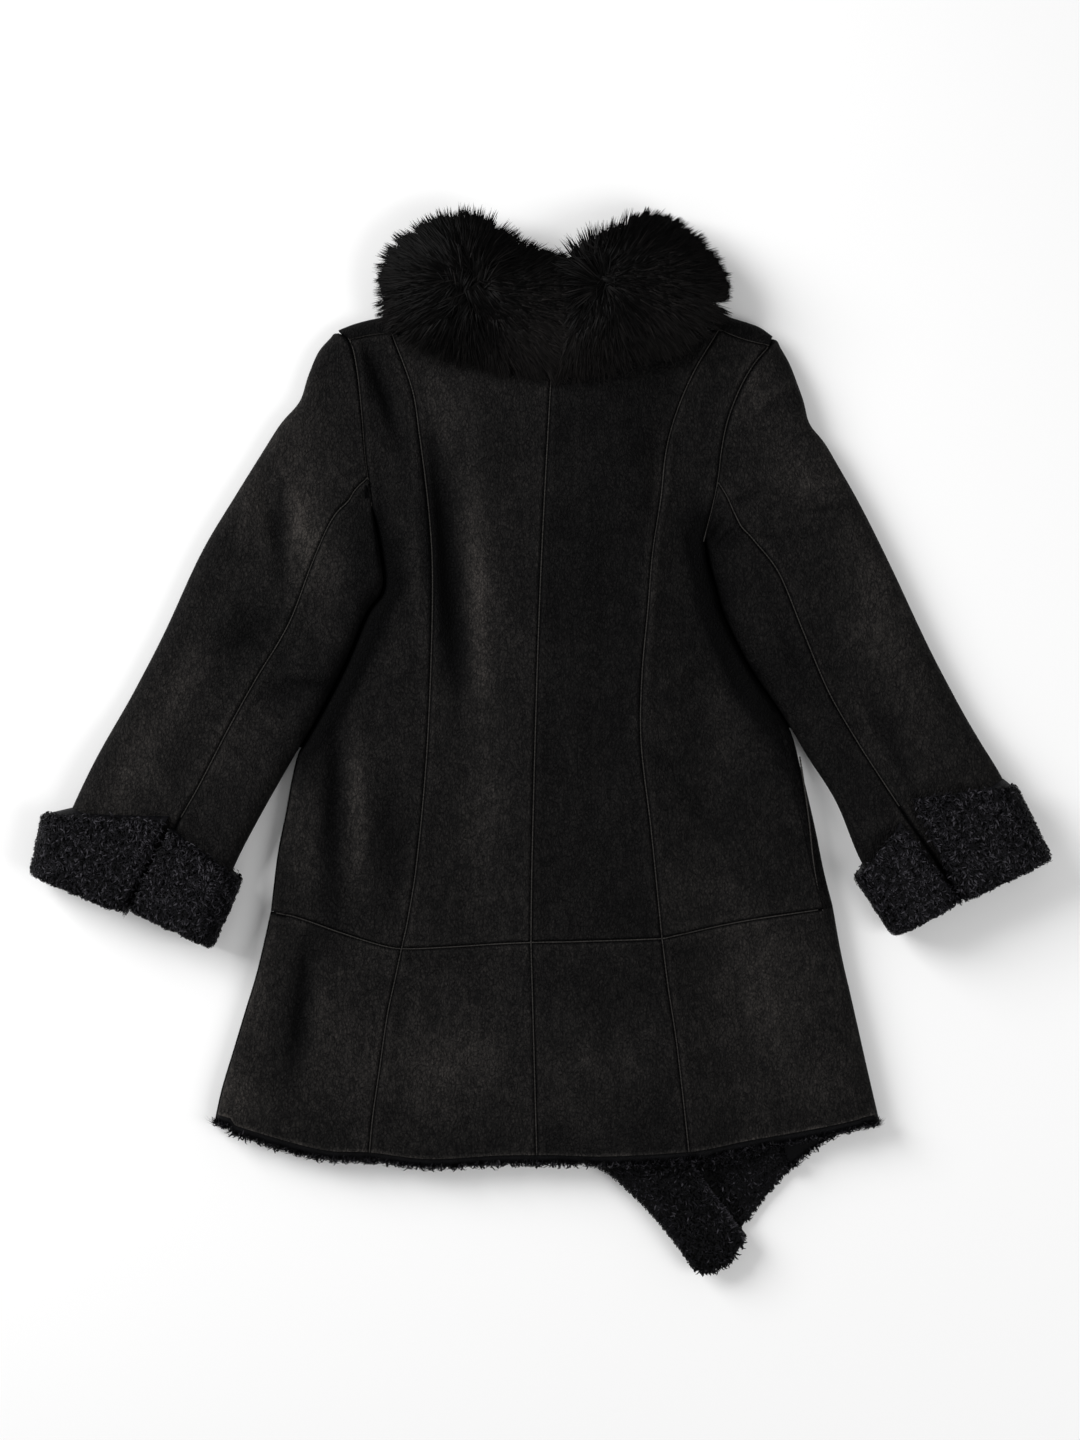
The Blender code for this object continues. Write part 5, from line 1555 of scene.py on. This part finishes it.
def suede():
    n = Nodes("suede")
    where = n.places()
    blotches = n.noise(where, 18.0, 3.0)
    mottle = n.noise(where, 90.0, 4.0, 0.65)
    grain = n.noise(n.places((1.0, 0.8, 1.0)), 620.0, 2.0, 0.75)
    creasing = n.add("TexNoise", Vector=n.places((90.0, 40.0, 60.0)), Scale=1.0, Detail=6.0,
                     Roughness=0.62, Distortion=1.6).outputs["Fac"]
    veins = n.math("MINIMUM", n.math("MULTIPLY", n.math("ABSOLUTE", n.math("SUBTRACT", creasing, 0.5)),
                                     16.0), 1.0)
    pebbles = n.add("TexVoronoi", {"feature": "DISTANCE_TO_EDGE"}, Vector=n.places((1.0, 0.6, 1.0)),
                    Scale=330.0, Randomness=1.0).outputs["Distance"]
    cracks = n.math("MINIMUM", n.math("MULTIPLY", pebbles, 4.0), 1.0)
    tone = n.tone((blotches, 0.5, 0.40), (mottle, 0.5, 0.24), (grain, 0.5, 0.8), (veins, 0.8, 0.19),
                  (cracks, 0.7, 0.16))
    colour = n.ramp(tone, [(0.0, (0.0007, 0.0007, 0.0008)), (0.30, (0.0030, 0.0029, 0.0030)),
                           (0.55, (0.0078, 0.0074, 0.0072)), (0.80, (0.0190, 0.0175, 0.0165)),
                           (1.0, (0.040, 0.036, 0.033))])
    creased = n.bump(veins, 0.30, 0.0016)
    wrinkled = n.bump(cracks, 0.50, 0.0011, creased)
    grained = n.bump(grain, 0.55, 0.0012, wrinkled)
    n.set(Base_Color=colour, Roughness=0.62, Specular_IOR_Level=0.035, Normal=grained)
    return n.material


def wool():
    n = Nodes("wool")
    fibres = n.noise(n.places((1.0, 0.5, 1.0), 20.0), 900.0, 5.0, 0.7)
    clumps = n.noise(n.places(), 120.0, 3.0)
    colour = n.ramp(n.tone((fibres, 0.5, 0.5), (clumps, 0.5, 0.6)), [
        (0.1, (0.0003, 0.0003, 0.0004)), (0.5, (0.0020, 0.0020, 0.0026)),
        (0.8, (0.0100, 0.0096, 0.0118)), (1.0, (0.042, 0.040, 0.046))])
    n.set(Base_Color=colour, Roughness=0.5, Specular_IOR_Level=0.06,
          Normal=n.bump(fibres, 0.6, 0.0012))
    return n.material


def fur():
    n = Nodes("fur")
    colour = n.ramp(n.tone(), [(0.1, (0.0002, 0.0002, 0.0002)), (0.45, (0.0010, 0.0009, 0.0009)),
                                (1.0, (0.0110, 0.0098, 0.0094))])
    n.set(Base_Color=colour, Roughness=0.48, Specular_IOR_Level=0.04)
    return n.material


def welt():
    n = Nodes("welt")
    twist = n.noise(n.places(), 700.0, 3.0)
    colour = n.ramp(twist, [(0.3, (0.010, 0.0095, 0.009)), (0.7, (0.042, 0.039, 0.036))])
    n.set(Base_Color=colour, Roughness=0.7, Specular_IOR_Level=0.1)
    return n.material


MATERIAL = {"suede": suede(), "wool": wool(), "fur": fur(), "welt": welt()}


# --- Camera, floor and light ------------------------------------------------------------------

# Metres and millimetres of sensor.
FLOOR_HALF, FLOOR_DROP = 4.0, 0.0005
CAMERA_DISTANCE, PICTURE_HEIGHT, SENSOR = 3.2, 1.44, 36.0
CAMERA_AIM = (-0.001, 0.0245, 0.035)


def place_in_scene(name, data, place=(0.0, 0.0, 0.0)):
    made = bpy.data.objects.new(name, data)
    made.location = place
    bpy.context.scene.collection.objects.link(made)
    return made


def make_stage():
    mesh = bpy.data.meshes.new("floor")
    corners = [(x * FLOOR_HALF, y * FLOOR_HALF, -FLOOR_DROP) for x, y in ((-1, -1), (1, -1), (1, 1), (-1, 1))]
    mesh.from_pydata(corners, [], [(0, 1, 2, 3)])
    pale = Nodes("floor")
    pale.set(Base_Color=(0.90, 0.90, 0.90, 1.0), Roughness=0.9)
    mesh.materials.append(pale.material)
    place_in_scene("floor", mesh)

    camera = bpy.data.cameras.new("camera")
    camera.sensor_width = SENSOR
    camera.lens = SENSOR * CAMERA_DISTANCE / PICTURE_HEIGHT
    x, y, z = CAMERA_AIM
    bpy.context.scene.camera = place_in_scene("camera", camera, (x, y, z + CAMERA_DISTANCE))

    def softbox(name, place, size, power):
        light = bpy.data.lights.new(name, "AREA")
        light.shape = "SQUARE"
        light.size = size
        light.energy = power
        towards = -np.array(place)
        place_in_scene(name, light, place).rotation_euler = (
            math.atan2(math.hypot(*towards[:2]), -towards[2]), 0.0,
            math.atan2(towards[1], towards[0]) - math.pi / 2)

    softbox("key", (-2.6, 1.5, 1.9), 2.0, 140.0)
    softbox("fill", (1.9, -0.8, 2.4), 1.6, 34.0)

    world = bpy.data.worlds.new("world")
    bpy.context.scene.world = world
    world.use_nodes = True
    world.node_tree.nodes["Background"].inputs["Color"].default_value = (1.0, 1.0, 1.0, 1.0)
    world.node_tree.nodes["Background"].inputs["Strength"].default_value = 0.36
    bpy.context.scene.view_settings.view_transform = "Standard"


make_stage()
build_fronts()
build_back()
for side in ("left", "right"):
    for piece in ("upper", "under"):
        build_sleeve(side, piece)
        build_cuff(side, piece)
    build_collar(side)

build_welts()
